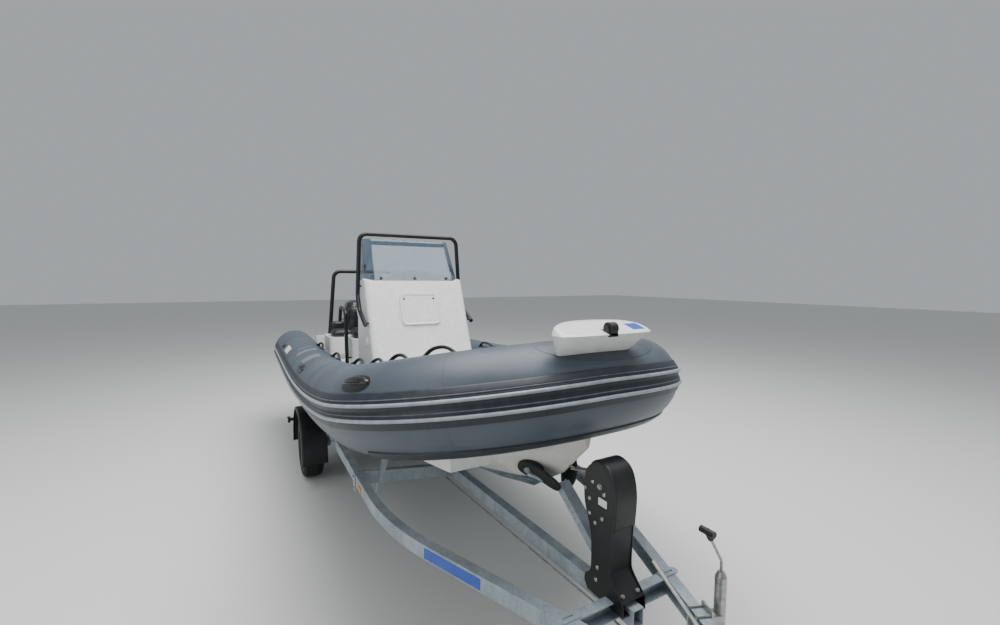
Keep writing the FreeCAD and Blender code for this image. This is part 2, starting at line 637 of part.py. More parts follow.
for name, side in (("starboard", -1), ("port", 1)):
    centre = side * WHEEL_Y
    rim = fused([wheel_part(RIM_BARREL, side), wheel_part(RIM_DISC, side)])
    for k in range(10):
        turn = math.radians(36 * k)
        hole = Vec(WHEEL_X + 126 * math.sin(turn), centre - 90, TYRE_R + 126 * math.cos(turn))
        rim = rim.cut(Part.makeCylinder(9, 180, hole, Vec(0, 1, 0)))
    nuts = []
    for k in range(4):
        turn = math.radians(45 + 90 * k)
        at = Vec(WHEEL_X + 56 * math.sin(turn), centre + side * 13, TYRE_R + 56 * math.cos(turn))
        stud = Part.makeCylinder(6, 26, at, Vec(0, side, 0))
        rim = rim.cut(Part.makeCylinder(6 + SEAT_GAP, 60, at - Vec(0, side * 20, 0), Vec(0, side, 0)))
        nut = Part.makeCylinder(11, 12, at + Vec(0, side * 7.3, 0), Vec(0, side, 0))
        nuts += [stud, nut]
    save("tyre_" + name, wheel_part(TYRE_PROFILE, side))
    save("rim_" + name, rim)
    save("hub_" + name, fused([wheel_part(DRUM, side)] + nuts))


# Mudguards: moulded arches with a turned-down outer lip, on a plate bolted to the rail

def arch_outline(radius):
    """Flat-topped arch round the wheel: (x, z) points from front to back."""
    angles = (-8, 7, 22, 36, 50, 62, 74, 106, 118, 130, 144, 158, 173, 188)
    return [(WHEEL_X + radius * math.cos(math.radians(a)), TYRE_R + radius * math.sin(math.radians(a)))
            for a in angles]


guard_in = TYRE_R + GUARD_CLEAR
guard_out = guard_in + GUARD_WALL
outer_y = GUARD_INNER_Y + GUARD_WIDTH
guard_arch = side_plate(arch_outline(guard_out) + arch_outline(guard_in)[::-1], GUARD_INNER_Y, outer_y)
guard_lip = side_plate(arch_outline(guard_out) + arch_outline(guard_in - 26)[::-1],
                       outer_y - GUARD_WALL, outer_y)
save("mudguards", pair(fused([guard_arch, guard_lip])))

hanger = side_plate([(WHEEL_X - 240, RAIL_LOW + 10), (WHEEL_X + 240, RAIL_LOW + 10),
                     (WHEEL_X + 240, RAIL_TOP + 8), (WHEEL_X + 100, TYRE_R + guard_in * 0.958),
                     (WHEEL_X - 100, TYRE_R + guard_in * 0.958), (WHEEL_X - 240, RAIL_TOP + 8)],
                    RAIL_HALF + SEAT_GAP, RAIL_HALF + SEAT_GAP + 4)
flange = block(WHEEL_X - 90, WHEEL_X + 90, RAIL_HALF + SEAT_GAP, GUARD_INNER_Y + 70,
               TYRE_R + guard_in * 0.9613 - SEAT_GAP - 4, TYRE_R + guard_in * 0.9613 - SEAT_GAP)
brackets = clamps + [fused([hanger, flange])]
save("frame_brackets", Part.makeCompound(brackets + [mirrored(b) for b in brackets]))


# Lamps: side markers on the mudguard stalks, tail lamps on a bar across the stern

lamp_y = outer_y + 30
MARKER_ANGLE = math.radians(151)
marker_x = WHEEL_X + (guard_in - 10) * math.cos(MARKER_ANGLE)
marker_z = TYRE_R + (guard_in - 10) * math.sin(MARKER_ANGLE)
stalk = block(marker_x - 13, marker_x + 13, outer_y + SEAT_GAP, lamp_y, marker_z - 13, marker_z + 13)
marker = block(marker_x - 33, marker_x + 33, lamp_y - 2, lamp_y + 24, marker_z - 24, marker_z + 24)
LAMP_BAR_X = RAIL_REAR_X - 62.0
LAMP_BAR_HALF = RAIL_HALF + 94.0
LAMP_Z = RAIL_TOP - RAIL_HEIGHT / 2 - 2.0
lamp_bar = block(LAMP_BAR_X, LAMP_BAR_X + 30, -LAMP_BAR_HALF, LAMP_BAR_HALF, LAMP_Z - 25, LAMP_Z + 25)
lamp_hole = block(LAMP_BAR_X + 3, LAMP_BAR_X + 27, -LAMP_BAR_HALF - 10, LAMP_BAR_HALF + 10,
                  LAMP_Z - 22, LAMP_Z + 22)
tie_y = RAIL_HALF - RAIL_WALL
tie = block(LAMP_BAR_X + 30, RAIL_REAR_X + 60, tie_y - 6 - SEAT_GAP, tie_y - SEAT_GAP,
            LAMP_Z - 20, LAMP_Z + 20)
save("lamp_bar", fused([lamp_bar.cut(lamp_hole), tie, mirrored(tie)]))
tail = block(LAMP_BAR_X - 50, LAMP_BAR_X - SEAT_GAP, LAMP_BAR_HALF - 220, LAMP_BAR_HALF - 10,
             LAMP_Z - 45, LAMP_Z + 45)
lamps = [tail, fused([marker, stalk])]
save("lamps", Part.makeCompound(lamps + [mirrored(p) for p in lamps]))


# Overrun drawbar: cast housing between the rail ends, drawtube, bellows and coupling head

draw_z = RAIL_TOP - RAIL_HEIGHT / 2
housing_x0 = RAIL_FRONT_X - 250
housing_x1 = housing_x0 + HOUSING_LENGTH
housing = block(housing_x0, housing_x1, -HOUSING_WIDTH / 2, HOUSING_WIDTH / 2, RAIL_LOW + 8, RAIL_TOP - 8)
bed = block(RAIL_FRONT_X - 190, RAIL_FRONT_X + 25, -150, 150, RAIL_LOW - 8 - SEAT_GAP,
            RAIL_LOW - SEAT_GAP)
bed_top = block(RAIL_FRONT_X - 190, RAIL_FRONT_X + 25, -150, 150, RAIL_TOP + SEAT_GAP,
                RAIL_TOP + 8 + SEAT_GAP)
edge_cut = rail_strip(-300, -4, RAIL_LOW - 60, RAIL_TOP + 60)
post_fill = block(RAIL_FRONT_X - 150, RAIL_FRONT_X - 20, -HOUSING_WIDTH / 2 + 8, HOUSING_WIDTH / 2 - 8,
                  RAIL_LOW - SEAT_GAP - 4, RAIL_TOP + SEAT_GAP + 4)
bore_clear = Part.makeCylinder(DRAW_TUBE_R + RUN_GAP, HOUSING_LENGTH + 20,
                               Vec(housing_x0 - 10, 0, draw_z), Vec(1, 0, 0))
housing = fused([housing, bed, bed_top, post_fill]).cut(bore_clear)
housing = housing.cut(edge_cut).cut(mirrored(edge_cut)).cut(rail).cut(mirrored(rail))
save("overrun_housing", max(housing.Solids, key=lambda s: s.Volume))

head_x0 = NOSE_X - 235
tube_x0 = housing_x0 + 20
draw_tube = Part.makeCylinder(DRAW_TUBE_R, head_x0 + 60 - tube_x0, Vec(tube_x0, 0, draw_z), Vec(1, 0, 0))
bellows = []
bellow_x0 = housing_x1 + SEAT_GAP
bellow_count = 6
bellow_pitch = (head_x0 - 4 - bellow_x0) / bellow_count
for k in range(bellow_count):
    x = bellow_x0 + k * bellow_pitch
    for cone_x, r0, r1 in ((x, 30, 40), (x + bellow_pitch / 2, 40, 30)):
        bellows.append(Part.makeCone(r0, r1, bellow_pitch / 2, Vec(cone_x, 0, draw_z), Vec(1, 0, 0)))
bellows = fused(bellows).cut(Part.makeCylinder(DRAW_TUBE_R + SEAT_GAP, 600, Vec(bellow_x0 - 5, 0, draw_z),
                                               Vec(1, 0, 0)))
save("draw_bellows", bellows)

ball = Vec(NOSE_X - 62, 0, draw_z - 28)
head_outline = [(head_x0, draw_z - 34), (NOSE_X - 110, draw_z - 44), (NOSE_X - 8, draw_z - 44),
                (NOSE_X, draw_z - 30), (NOSE_X, draw_z - 4), (NOSE_X - 26, draw_z + 26),
                (NOSE_X - 110, draw_z + 34), (head_x0, draw_z + 34)]
head = side_plate(head_outline, -40, 40)
head = head.cut(Part.makeSphere(BALL_R + BALL_CLEAR, ball))
head = head.cut(Part.makeCylinder(BALL_R + BALL_CLEAR, 40, ball - Vec(0, 0, 40), UP))
head = head.cut(Part.makeCylinder(DRAW_TUBE_R, 62, Vec(head_x0 - 1, 0, draw_z), Vec(1, 0, 0)))
handle = side_plate([(NOSE_X - 150, draw_z + 34), (NOSE_X - 110, draw_z + 34), (NOSE_X - 40, draw_z + 92),
                     (NOSE_X - 52, draw_z + 104), (NOSE_X - 150, draw_z + 60)], -15, 15)
save("coupling_head", fused([head, handle, draw_tube]))

LEVER_FOOT = Vec(RAIL_FRONT_X - 150, 48, RAIL_TOP + 8 + 2 * SEAT_GAP)
lever_pivot = LEVER_FOOT + UP * 8
lever_head = Vec(2222, 48, RAIL_TOP + 212)
lever = fused([rod(lever_pivot, lever_head, 9),
               Part.makeCylinder(24, 14, lever_pivot + Vec(0, -7, 16), Vec(0, 1, 0)),
               block(LEVER_FOOT.x - 24, LEVER_FOOT.x + 24, 41, 55, LEVER_FOOT.z, LEVER_FOOT.z + 16)])
ROD_R = 5.5
rod_y = -BEAM_WIDTH / 2 - 24
rod_low = CROSS_LOW_TOP - CROSS_HEIGHT - ROD_R - 8
rod_points = [Vec(x, rod_y, z)
              for x, z in ((AXLE_X + AXLE_SIZE / 2 + SEAT_GAP, rod_low), (CROSS_X["mid"] + 90, rod_low),
                           (FRONT_CROSS_X - 60, RAIL_LOW - 14), (RAIL_FRONT_X - 140, RAIL_LOW - 14))]
brake_rod = bent_bar(rod_points, ROD_R, 300)
rod_hook = block(rod_points[-1].x - 14, rod_points[-1].x, rod_y - 8, rod_y + 8, rod_points[-1].z,
                 RAIL_LOW - 8 - 2 * SEAT_GAP)
save("brake_linkage", Part.makeCompound([lever, fused([brake_rod, rod_hook])]))


# Jockey wheel: clamp on the port rail, outer tube with crank, inner tube, swivelling fork, wheel

JOCKEY_TRAVEL = 120.0
JOCKEY_OFFSET = 61.0        # rail's outer face to the tube's axis, square to the rail
FORK_CROWN_Z = 240.0
FORK_CROWN = 16.0
INNER_R = 19.0
INNER_TOP = JOCKEY_TUBE_HIGH - JOCKEY_TRAVEL - 12
STEM_R = 10.0
JOCKEY_AXLE_R = 8.0
neck_out = Vec(math.sin(NECK), math.cos(NECK), 0)
neck_along = Vec(math.cos(NECK), -math.sin(NECK), 0)
jockey = Vec(JOCKEY_X, rail_y(JOCKEY_X), 0) + neck_out * JOCKEY_OFFSET
outer_base = jockey + UP * JOCKEY_TUBE_LOW
outer_length = JOCKEY_TUBE_HIGH - JOCKEY_TUBE_LOW
outer_tube = ring(JOCKEY_TUBE_R, JOCKEY_TUBE_R - JOCKEY_TUBE_WALL, outer_base, UP, outer_length)
tube_cap = Part.makeCylinder(JOCKEY_TUBE_R, 4, jockey + UP * JOCKEY_TUBE_HIGH, UP)
collar_cap = Part.makeCone(JOCKEY_TUBE_R - 2, 14, 22, jockey + UP * (JOCKEY_TUBE_HIGH + 4), UP)
crank_foot = jockey + UP * (JOCKEY_TUBE_HIGH + 20)
crank_knee = crank_foot + UP * 50
crank_head = crank_knee + Vec(0, -78, 120)
crank = bent_bar([crank_foot, crank_knee, crank_head], 6, 24)
save("jockey_tube", fused([outer_tube, tube_cap, collar_cap, crank]))
grip_turn = (crank_head - crank_knee).normalize()
grip = rod(crank_head + grip_turn * SEAT_GAP, crank_head + grip_turn * 52, 13)
grip_bar = rod(crank_head + grip_turn * 44 - Vec(32, 0, 0), crank_head + grip_turn * 44 + Vec(32, 0, 0), 14)
save("crank_grip", fused([grip, grip_bar]))


def neck_block(a0, a1, d0, d1, z0, z1):
    """Block aligned with the port rail's neck: along it, out from its face, and up."""
    base = Vec(JOCKEY_X, rail_y(JOCKEY_X), z0)
    corners = [base + neck_along * a + neck_out * d for a, d in ((a0, d0), (a1, d0), (a1, d1), (a0, d1))]
    return plate(corners, Vec(0, 0, z1 - z0))


clamp_plate = neck_block(-38, 38, SEAT_GAP, 10, RAIL_LOW - 16, RAIL_TOP + 26)
saddle_block = neck_block(-26, 26, 9, JOCKEY_OFFSET + 6, RAIL_LOW + 12, RAIL_TOP - 6)
saddle_block = saddle_block.cut(Part.makeCylinder(JOCKEY_TUBE_R + SEAT_GAP, 300,
                                                  jockey + UP * (RAIL_LOW - 60), UP))
u_bolts = []
for a in (-30, 30):
    for z in (RAIL_LOW - 8, RAIL_TOP + 8):
        start = Vec(JOCKEY_X, rail_y(JOCKEY_X), z) + neck_along * a + neck_out * 20
        u_bolts.append(rod(start, start - neck_out * (RAIL_FLANGE + 34), 5))
    back = Vec(JOCKEY_X, rail_y(JOCKEY_X), 0) + neck_along * a - neck_out * (RAIL_FLANGE + 10)
    u_bolts.append(rod(back + UP * (RAIL_LOW - 16), back + UP * (RAIL_TOP + 16), 5))
save("jockey_clamp", fused([clamp_plate, saddle_block] + u_bolts))

inner = Part.makeCylinder(INNER_R, INNER_TOP - FORK_CROWN_Z - FORK_CROWN - SEAT_GAP,
                          jockey + UP * (FORK_CROWN_Z + FORK_CROWN + SEAT_GAP), UP)
stem = Part.makeCylinder(STEM_R, 60, jockey + UP * (FORK_CROWN_Z - 8), UP)
stem_head = Part.makeCylinder(STEM_R + 6, 8, jockey + UP * (FORK_CROWN_Z - 8 - SEAT_GAP), UP)
slide_ring = Part.makeCylinder(JOCKEY_TUBE_R - JOCKEY_TUBE_WALL - RUN_GAP, 24,
                               jockey + UP * (INNER_TOP - 24), UP)
save("jockey_inner", fused([inner, stem, stem_head, slide_ring]))

jockey_axle = jockey + Vec(-JOCKEY_TRAIL, 0, JOCKEY_WHEEL_R)
crown = Part.makeCylinder(30, FORK_CROWN, jockey + UP * FORK_CROWN_Z, UP)
ear_y = JOCKEY_WHEEL_WIDTH / 2 + 5
cheeks = []
for side in (-1, 1):
    y0, y1 = sorted((side * ear_y, side * (ear_y + 5)))
    cheek = side_plate([(JOCKEY_X + 22, FORK_CROWN_Z + FORK_CROWN),
                        (JOCKEY_X - 26, FORK_CROWN_Z + FORK_CROWN),
                        (jockey_axle.x - 20, JOCKEY_WHEEL_R - 10), (jockey_axle.x - 8, JOCKEY_WHEEL_R - 20),
                        (jockey_axle.x + 14, JOCKEY_WHEEL_R - 14),
                        (JOCKEY_X + 22, FORK_CROWN_Z - 16)], y0, y1)
    cheek.translate(Vec(jockey.x - JOCKEY_X, jockey.y, 0))
    cheeks.append(cheek)
bridge = block(jockey.x - 24, jockey.x + 20, jockey.y - ear_y, jockey.y + ear_y,
               FORK_CROWN_Z, FORK_CROWN_Z + FORK_CROWN)
axle_pin = Part.makeCylinder(JOCKEY_AXLE_R, 2 * ear_y + 18, jockey_axle - Vec(0, ear_y + 9, 0), Vec(0, 1, 0))
fork = fused([crown, bridge, axle_pin] + cheeks)
fork = fork.cut(Part.makeCylinder(STEM_R + RUN_GAP, 60, jockey + UP * (FORK_CROWN_Z - 20), UP))
save("jockey_fork", fork)
half_w = JOCKEY_WHEEL_WIDTH / 2
# (y from the middle, radius) of the small wheel
small_profile = ((-half_w - 3, JOCKEY_AXLE_R + RUN_GAP), (-half_w - 3, 22), (-10, 26), (-10, 58),
                 (-half_w, 64), (-half_w, JOCKEY_WHEEL_R - 12), (-half_w + 12, JOCKEY_WHEEL_R),
                 (half_w - 12, JOCKEY_WHEEL_R), (half_w, JOCKEY_WHEEL_R - 12), (half_w, 64), (10, 58),
                 (10, 26), (half_w + 3, 22), (half_w + 3, JOCKEY_AXLE_R + RUN_GAP))
points = [jockey_axle + Vec(0, y, r) for y, r in small_profile]
small_wheel = Part.Face(Part.makePolygon(points + [points[0]])).revolve(jockey_axle, Vec(0, 1, 0), 360)
save("jockey_wheel", small_wheel)


# Winch post: two cranked side plates and a front web, bolted down over the centre beam

POST_HALF = 80.0
POST_WALL = 6.0
DRUM_X = 2018.0
DRUM_Z = 1030.0
post_outline = [(1942, 512), (1932, 545), (1942, 588), (1984, 618), (1976, 770), (1940, 880), (1926, 1000),
                (1934, 1075), (1970, 1118), (2020, 1132), (2068, 1116), (2102, 1070), (2112, 1000),
                (2104, 860), (2096, 650), (2176, 566), (2176, BEAM_FRONT_TOP + SEAT_GAP + 6)]
post_side = side_plate(post_outline, -POST_HALF, -POST_HALF + POST_WALL)
post_side = post_side.cut(beam_room)
web = side_plate([(2104, 860), (2096, 650), (2090, 650), (2098, 860)], -POST_HALF, POST_HALF)
ramp = side_plate([(2096, 650), (2176, 566), (2172, 562), (2090, 650)], -POST_HALF, POST_HALF)
foot = block(1990, 2176, -POST_HALF, POST_HALF, BEAM_FRONT_TOP + 0.2 + SEAT_GAP + CROSS_WALL,
             BEAM_FRONT_TOP + SEAT_GAP + 6 + CROSS_WALL)
shoe = block(1942, 1992, -POST_HALF, POST_HALF, beam_top(1992) + SEAT_GAP, beam_top(1992) + SEAT_GAP + 5)
tie_bars = [rod(Vec(x, -POST_HALF, z), Vec(x, POST_HALF, z), 8)
            for x, z in ((1972, 880), (1972, 1094), (DRUM_X, DRUM_Z))]
post = fused([post_side, mirrored(post_side), web, ramp, foot, shoe] + tie_bars)
cross_block = block(FRONT_CROSS_X - SEAT_GAP, FRONT_CROSS_X + CROSS_DEPTH + SEAT_GAP, -300, 300,
                    RAIL_LOW - SEAT_GAP, RAIL_TOP + SEAT_GAP)
post = post.cut(cross_block)
save("winch_post", max(post.Solids, key=lambda s: s.Volume))

drum_half = POST_HALF - POST_WALL - 12
drum = rod(Vec(DRUM_X, -drum_half, DRUM_Z), Vec(DRUM_X, drum_half, DRUM_Z), 58)

cover_outer = [(1980, 1138), (2020, 1146), (2076, 1128), (2114, 1076), (2124, 1000), (2114, 862)]
cover_inner = [(2104.4, 862), (2112.4, 1000), (2102.3, 1070.2), (2068.2, 1116.4), (2020, 1132.4),
               (1982, 1121.8)]
cover = side_plate(cover_outer + cover_inner, -POST_HALF + POST_WALL + 1, POST_HALF - POST_WALL - 1)
cover_skirt = side_plate(cover_outer[1:6] + cover_inner[:5], -POST_HALF, POST_HALF)
save("winch_cover", fused([cover, cover_skirt]))


# Stem support: channel strut off the back of the post, a yoke and two rubber pads against the bow

STEM_PAD_Y = 112.0
STEM_PAD_Z = 950.0
STEM_PAD_R = 72.0
STEM_PAD_THICK = 26.0


def hull_x_at(y, z):
    """Place along the boat where the bottom reaches a height at some distance off the keel."""
    low, high = 1000.0, 1840.0
    for _ in range(40):
        middle = (low + high) / 2
        low, high = (middle, high) if hull_bottom(middle, y) < z else (low, middle)
    return low


pad_at = Vec(hull_x_at(STEM_PAD_Y, STEM_PAD_Z), -STEM_PAD_Y, STEM_PAD_Z)
slope_x = (hull_bottom(pad_at.x + 5, STEM_PAD_Y) - hull_bottom(pad_at.x - 5, STEM_PAD_Y)) / 10
slope_y = (hull_bottom(pad_at.x, STEM_PAD_Y + 5) - hull_bottom(pad_at.x, STEM_PAD_Y - 5)) / 10
pad_out = Vec(slope_x, -slope_y, -1).normalize()
pad_face = pad_at - pad_out * PRESS
pad_disc = Part.makeCylinder(STEM_PAD_R, STEM_PAD_THICK, pad_face, pad_out)
pad_disc = pad_disc.makeFillet(8, pad_disc.Edges).cut(hull)
pads = [pad, pad_disc]
save("support_pads", Part.makeCompound(pads + [mirrored(p) for p in pads]))
yoke_mid = Vec(pad_at.x + 150, 0, STEM_PAD_Z - 82)
arm_end = pad_face + pad_out * (STEM_PAD_THICK + SEAT_GAP)
arm_knee = arm_end + pad_out * 22
pad_arm = fused([Part.makeCylinder(34, 6, arm_end, pad_out), rod(arm_end + pad_out * 3, arm_knee, 12),
                 Part.makeSphere(12, arm_knee), rod(arm_knee, yoke_mid, 12)])
strut_foot = Vec(1979, 0, 650)
strut_dir = (strut_foot - yoke_mid).normalize()
strut_norm = Vec(strut_dir.z, 0, -strut_dir.x)
strut_depth = 46.0
s0 = yoke_mid - strut_dir * 26
s1 = strut_foot
strut_points = [s0 - strut_norm * strut_depth / 2, s1 - strut_norm * strut_depth / 2,
                s1 + strut_norm * strut_depth / 2, s0 + strut_norm * strut_depth / 2]
strut = plate([p + Vec(0, -32, 0) for p in strut_points], Vec(0, 64, 0))
inner_points = [p + strut_norm * 5 for p in strut_points]
strut = strut.cut(plate([p + Vec(0, -27, 0) for p in inner_points], Vec(0, 54, 0)))
for k in range(5):
    at = yoke_mid + strut_dir * (60 + 34 * k)
    strut = strut.cut(rod(at - Vec(0, 40, 0), at + Vec(0, 40, 0), 5))
support = fused([strut, pad_arm, mirrored(pad_arm)])
save("stem_support", support.cut(side_plate(post_outline, -POST_HALF - 1, POST_HALF + 1)))

eye_x = hull_x_at(9, 1010.0)
strap_from = Vec(DRUM_X - 50, 0, DRUM_Z + 30)
save("bow_eye", rod(Vec(eye_x - 30, 0, 1010), Vec(eye_x + 22, 0, 996), 7).cut(hull_block))
strap_to = Vec(eye_x + 30, 0, 1002)
strap_dir = (strap_to - strap_from).normalize()
strap_norm = Vec(strap_dir.z, 0, -strap_dir.x) * 2.5
strap = plate([p + Vec(0, -25, 0) for p in (strap_from - strap_norm, strap_to - strap_norm,
                                            strap_to + strap_norm, strap_from + strap_norm)], Vec(0, 50, 0))
drum_bore = rod(Vec(DRUM_X, -100, DRUM_Z), Vec(DRUM_X, 100, DRUM_Z), 8 + SEAT_GAP)
save("winch_strap", fused([drum, strap]).cut(drum_bore))


# Deck moulding: cockpit floor and transom board

floor = recess(SEAT_GAP, HULL_TOP + SEAT_GAP, DECK_TOP)
transom_half = 590.0
transom = block(TRANSOM_X, TRANSOM_X + TRANSOM_THICK - SEAT_GAP, -transom_half, transom_half,
                HULL_TOP + SEAT_GAP, TRANSOM_TOP)
notch = side_plate([(TRANSOM_X - 5, TRANSOM_TOP - 25), (TRANSOM_X + 80, TRANSOM_TOP - 25),
                    (TRANSOM_X + 80, TRANSOM_TOP + 5), (TRANSOM_X - 5, TRANSOM_TOP + 5)], -260, 260)
knee = side_plate([(TRANSOM_X + 50, DECK_TOP - 10), (TRANSOM_X + 290, DECK_TOP - 10),
                   (TRANSOM_X + 50, TRANSOM_TOP - 30)], -480, -440)
deck = fused([floor, transom.cut(notch), knee, mirrored(knee)]).cut(collar)
save("deck", max(deck.Solids, key=lambda s: s.Volume))


# Console: hollow moulding, open at the foot, with a hatch in its raked front

FACE_RUN = Vec(CONSOLE_TOP_X - CONSOLE_FRONT_X, 0, CONSOLE_TOP - DECK_TOP)
face_up = Vec(FACE_RUN.x, 0, FACE_RUN.z).normalize()
face_out = Vec(face_up.z, 0, -face_up.x)
face_foot = Vec(CONSOLE_FRONT_X, 0, DECK_TOP)


def on_face(up, out):
    """Point on the console's front at a distance up from the deck and out from the face."""
    return face_foot + face_up * up + face_out * out


CONSOLE_SIDE = ((CONSOLE_FRONT_X, DECK_TOP + SEAT_GAP), (CONSOLE_TOP_X, CONSOLE_TOP),
                (CONSOLE_TOP_X - 95, CONSOLE_TOP + 22), (CONSOLE_TOP_X - 165, CONSOLE_TOP - 12),
                (CONSOLE_BACK_X - 20, CONSOLE_DASH_Z), (CONSOLE_BACK_X + 30, CONSOLE_DASH_Z - 60),
                (CONSOLE_BACK_X + 10, DECK_TOP + SEAT_GAP))


def inset_outline(points, wall):
    """Outline of (x, z) pairs moved inwards by a wall, its foot left open."""
    moved = []
    count = len(points)
    for k in range(count):
        (xa, za), (xb, zb), (xc, zc) = points[k - 1], points[k], points[(k + 1) % count]
        n1 = Vec(zb - za, 0, xa - xb).normalize()
        n2 = Vec(zc - zb, 0, xb - xc).normalize()
        bisector = (n1 + n2).normalize()
        reach = wall / max(0.2, bisector.dot(n1))
        moved.append((xb - bisector.x * reach, zb - bisector.z * reach))
    return moved


def front_rounded(shape, radius):
    """Shape with the two upright edges of its raked front rounded."""
    edges = [e for e in shape.Edges if e.BoundBox.ZLength > 300 and e.BoundBox.XMax > CONSOLE_TOP_X + 50]
    return shape.makeFillet(radius, edges)


inner_side = inset_outline(CONSOLE_SIDE, CONSOLE_WALL)
inner_side = [(x, z - 40 if z < DECK_TOP + 60 else z) for x, z in inner_side]
cavity = side_plate(inner_side, -CONSOLE_HALF + CONSOLE_WALL, CONSOLE_HALF - CONSOLE_WALL)
console = front_rounded(side_plate(CONSOLE_SIDE, -CONSOLE_HALF, CONSOLE_HALF), CONSOLE_ROUND)
console = console.cut(front_rounded(cavity, CONSOLE_ROUND - CONSOLE_WALL))


def face_block(y0, y1, low, high, out0, out1):
    """Block square to the console's front: across, up from the deck and out from the face."""
    corners = [on_face(low, out0) + Vec(0, y0, 0), on_face(low, out0) + Vec(0, y1, 0),
               on_face(high, out0) + Vec(0, y1, 0), on_face(high, out0) + Vec(0, y0, 0)]
    return plate(corners, face_out * (out1 - out0))


def face_panel(half, low, high, out0, out1, radius):
    """Panel with rounded corners on the console's front."""
    panel = face_block(-half, half, low, high, out0, out1)
    edges = [e for e in panel.Edges if abs(abs(e.tangentAt(e.FirstParameter).dot(face_out)) - 1) < 1e-3]
    return panel.makeFillet(radius, edges)


hatch_high = HATCH_LOW + HATCH_LENGTH
opening = face_panel(HATCH_WIDTH / 2 - HATCH_OVERLAP, HATCH_LOW + HATCH_OVERLAP, hatch_high - HATCH_OVERLAP,
                     -60, 40, 34)
console = console.cut(opening)
hatch = face_panel(HATCH_WIDTH / 2, HATCH_LOW, hatch_high, SEAT_GAP, SEAT_GAP + HATCH_THICK, 52)

# its hinges: a knuckle of the console between two of the hatch, on a pin that turns with the hatch
HINGE_SPOTS = (-95.0, 95.0)
KNUCKLE = 18.0
KNUCKLE_GAP = 1.0
pin_up = hatch_high + HINGE_R + 2
hatch_pin = on_face(pin_up, HINGE_R + 1)


def hinge_roll(pin_axis, y0, y1, radius):
    """Round part of a hinge from y0 to y1, on an axis across the boat."""
    return Part.makeCylinder(radius, y1 - y0, pin_axis + Vec(0, y0, 0), Vec(0, 1, 0))


for y in HINGE_SPOTS:
    y0, y1 = y - KNUCKLE / 2, y + KNUCKLE / 2
    foot = face_block(y0, y1, pin_up - 4, pin_up + 4, -2, HINGE_R)
    console = console.fuse([foot, hinge_roll(hatch_pin, y0, y1, HINGE_R)])
    console = console.cut(hinge_roll(hatch_pin, y0, y1, HINGE_PIN_R + RUN_GAP))
    hatch_side = [hinge_roll(hatch_pin, y0 - KNUCKLE, y1 + KNUCKLE, HINGE_PIN_R)]
    for a, b in ((y0 - KNUCKLE, y0 - KNUCKLE_GAP), (y1 + KNUCKLE_GAP, y1 + KNUCKLE)):
        hatch_side.append(hinge_roll(hatch_pin, a, b, HINGE_R))
        hatch_side.append(face_block(a, b, hatch_high - 12, pin_up, HINGE_R - 2, HINGE_R + 4))
    hatch = fused([hatch] + hatch_side)
console = console.removeSplitter()
save("console", console)
save("console_hatch", hatch)

dash_top = Vec(CONSOLE_TOP_X - 165, 0, CONSOLE_TOP - 12)
dash_low = Vec(CONSOLE_BACK_X - 20, 0, CONSOLE_DASH_Z)
dash_up = (dash_top - dash_low).normalize()
dash_out = Vec(-dash_up.z, 0, dash_up.x)


def on_dash(up, y, out):
    return dash_low + dash_up * up + Vec(0, y, 0) + dash_out * out


def dash_panel(y0, y1, up0, up1, out0, out1):
    corners = [on_dash(u, y, out0) for u, y in ((up0, y0), (up0, y1), (up1, y1), (up1, y0))]
    return plate(corners, dash_out * (out1 - out0))


panel = dash_panel(105 - CONSOLE_HALF, CONSOLE_HALF - 105, 30, 285, SEAT_GAP, 7)
gauges = [Part.makeCylinder(r, 10, on_dash(up, y, 6), dash_out)
          for y, up, r in ((-60, 215, 42), (50, 215, 42), (150, 215, 30), (225, 215, 30))]
switches = [dash_panel(y - 11, y + 11, 60, 100, 6, 16) for y in (60, 95, 130, 165, 200, 235)]
helm_hub = Part.makeCylinder(48, 26, on_dash(120, HELM_Y, 6), dash_out)

throttle_base = Part.makeCylinder(44, 46, on_dash(120, 310, 7 + SEAT_GAP), dash_out)
throttle_arm = rod(on_dash(120, 310, 30), on_dash(235, 310, 120), 9)
throttle_knob = rod(on_dash(235, 280, 120), on_dash(235, 350, 120), 16)
throttle = fused([throttle_base, throttle_arm, throttle_knob])
save("dash_panel", Part.makeCompound([fused([panel, helm_hub] + gauges + switches), throttle]))

helm_mid = on_dash(120, HELM_Y, 110)
helm_turn = FreeCAD.Rotation(UP, dash_out)
helm_rim = Part.makeTorus(HELM_R - 13, 13)
spokes = [rod(Vec(0, 0, -14), Vec(math.cos(math.radians(a)), math.sin(math.radians(a)), 0) * (HELM_R - 13), 9)
          for a in (90, 210, 330)]
boss = Part.makeCylinder(34, 30, Vec(0, 0, -30))
shaft = Part.makeCylinder(14, 78 - SEAT_GAP, Vec(0, 0, -78 + SEAT_GAP))
helm = fused([helm_rim, boss, shaft] + spokes)
helm.Placement = FreeCAD.Placement(helm_mid, helm_turn)
save("steering_wheel", helm)


# Windscreen: bent acrylic sheet round the front and sides of the console top

def screen_wire(z, lean, half, wing, wall):
    front = CONSOLE_TOP_X - 18 - lean - wall
    side = half - wall
    cut = 70.0
    return [Vec(front - wing, -side - 0.06 * wing, z), Vec(front - cut, -side, z), Vec(front, -side + cut, z),
            Vec(front, side - cut, z), Vec(front - cut, side, z), Vec(front - wing, side + 0.06 * wing, z)]


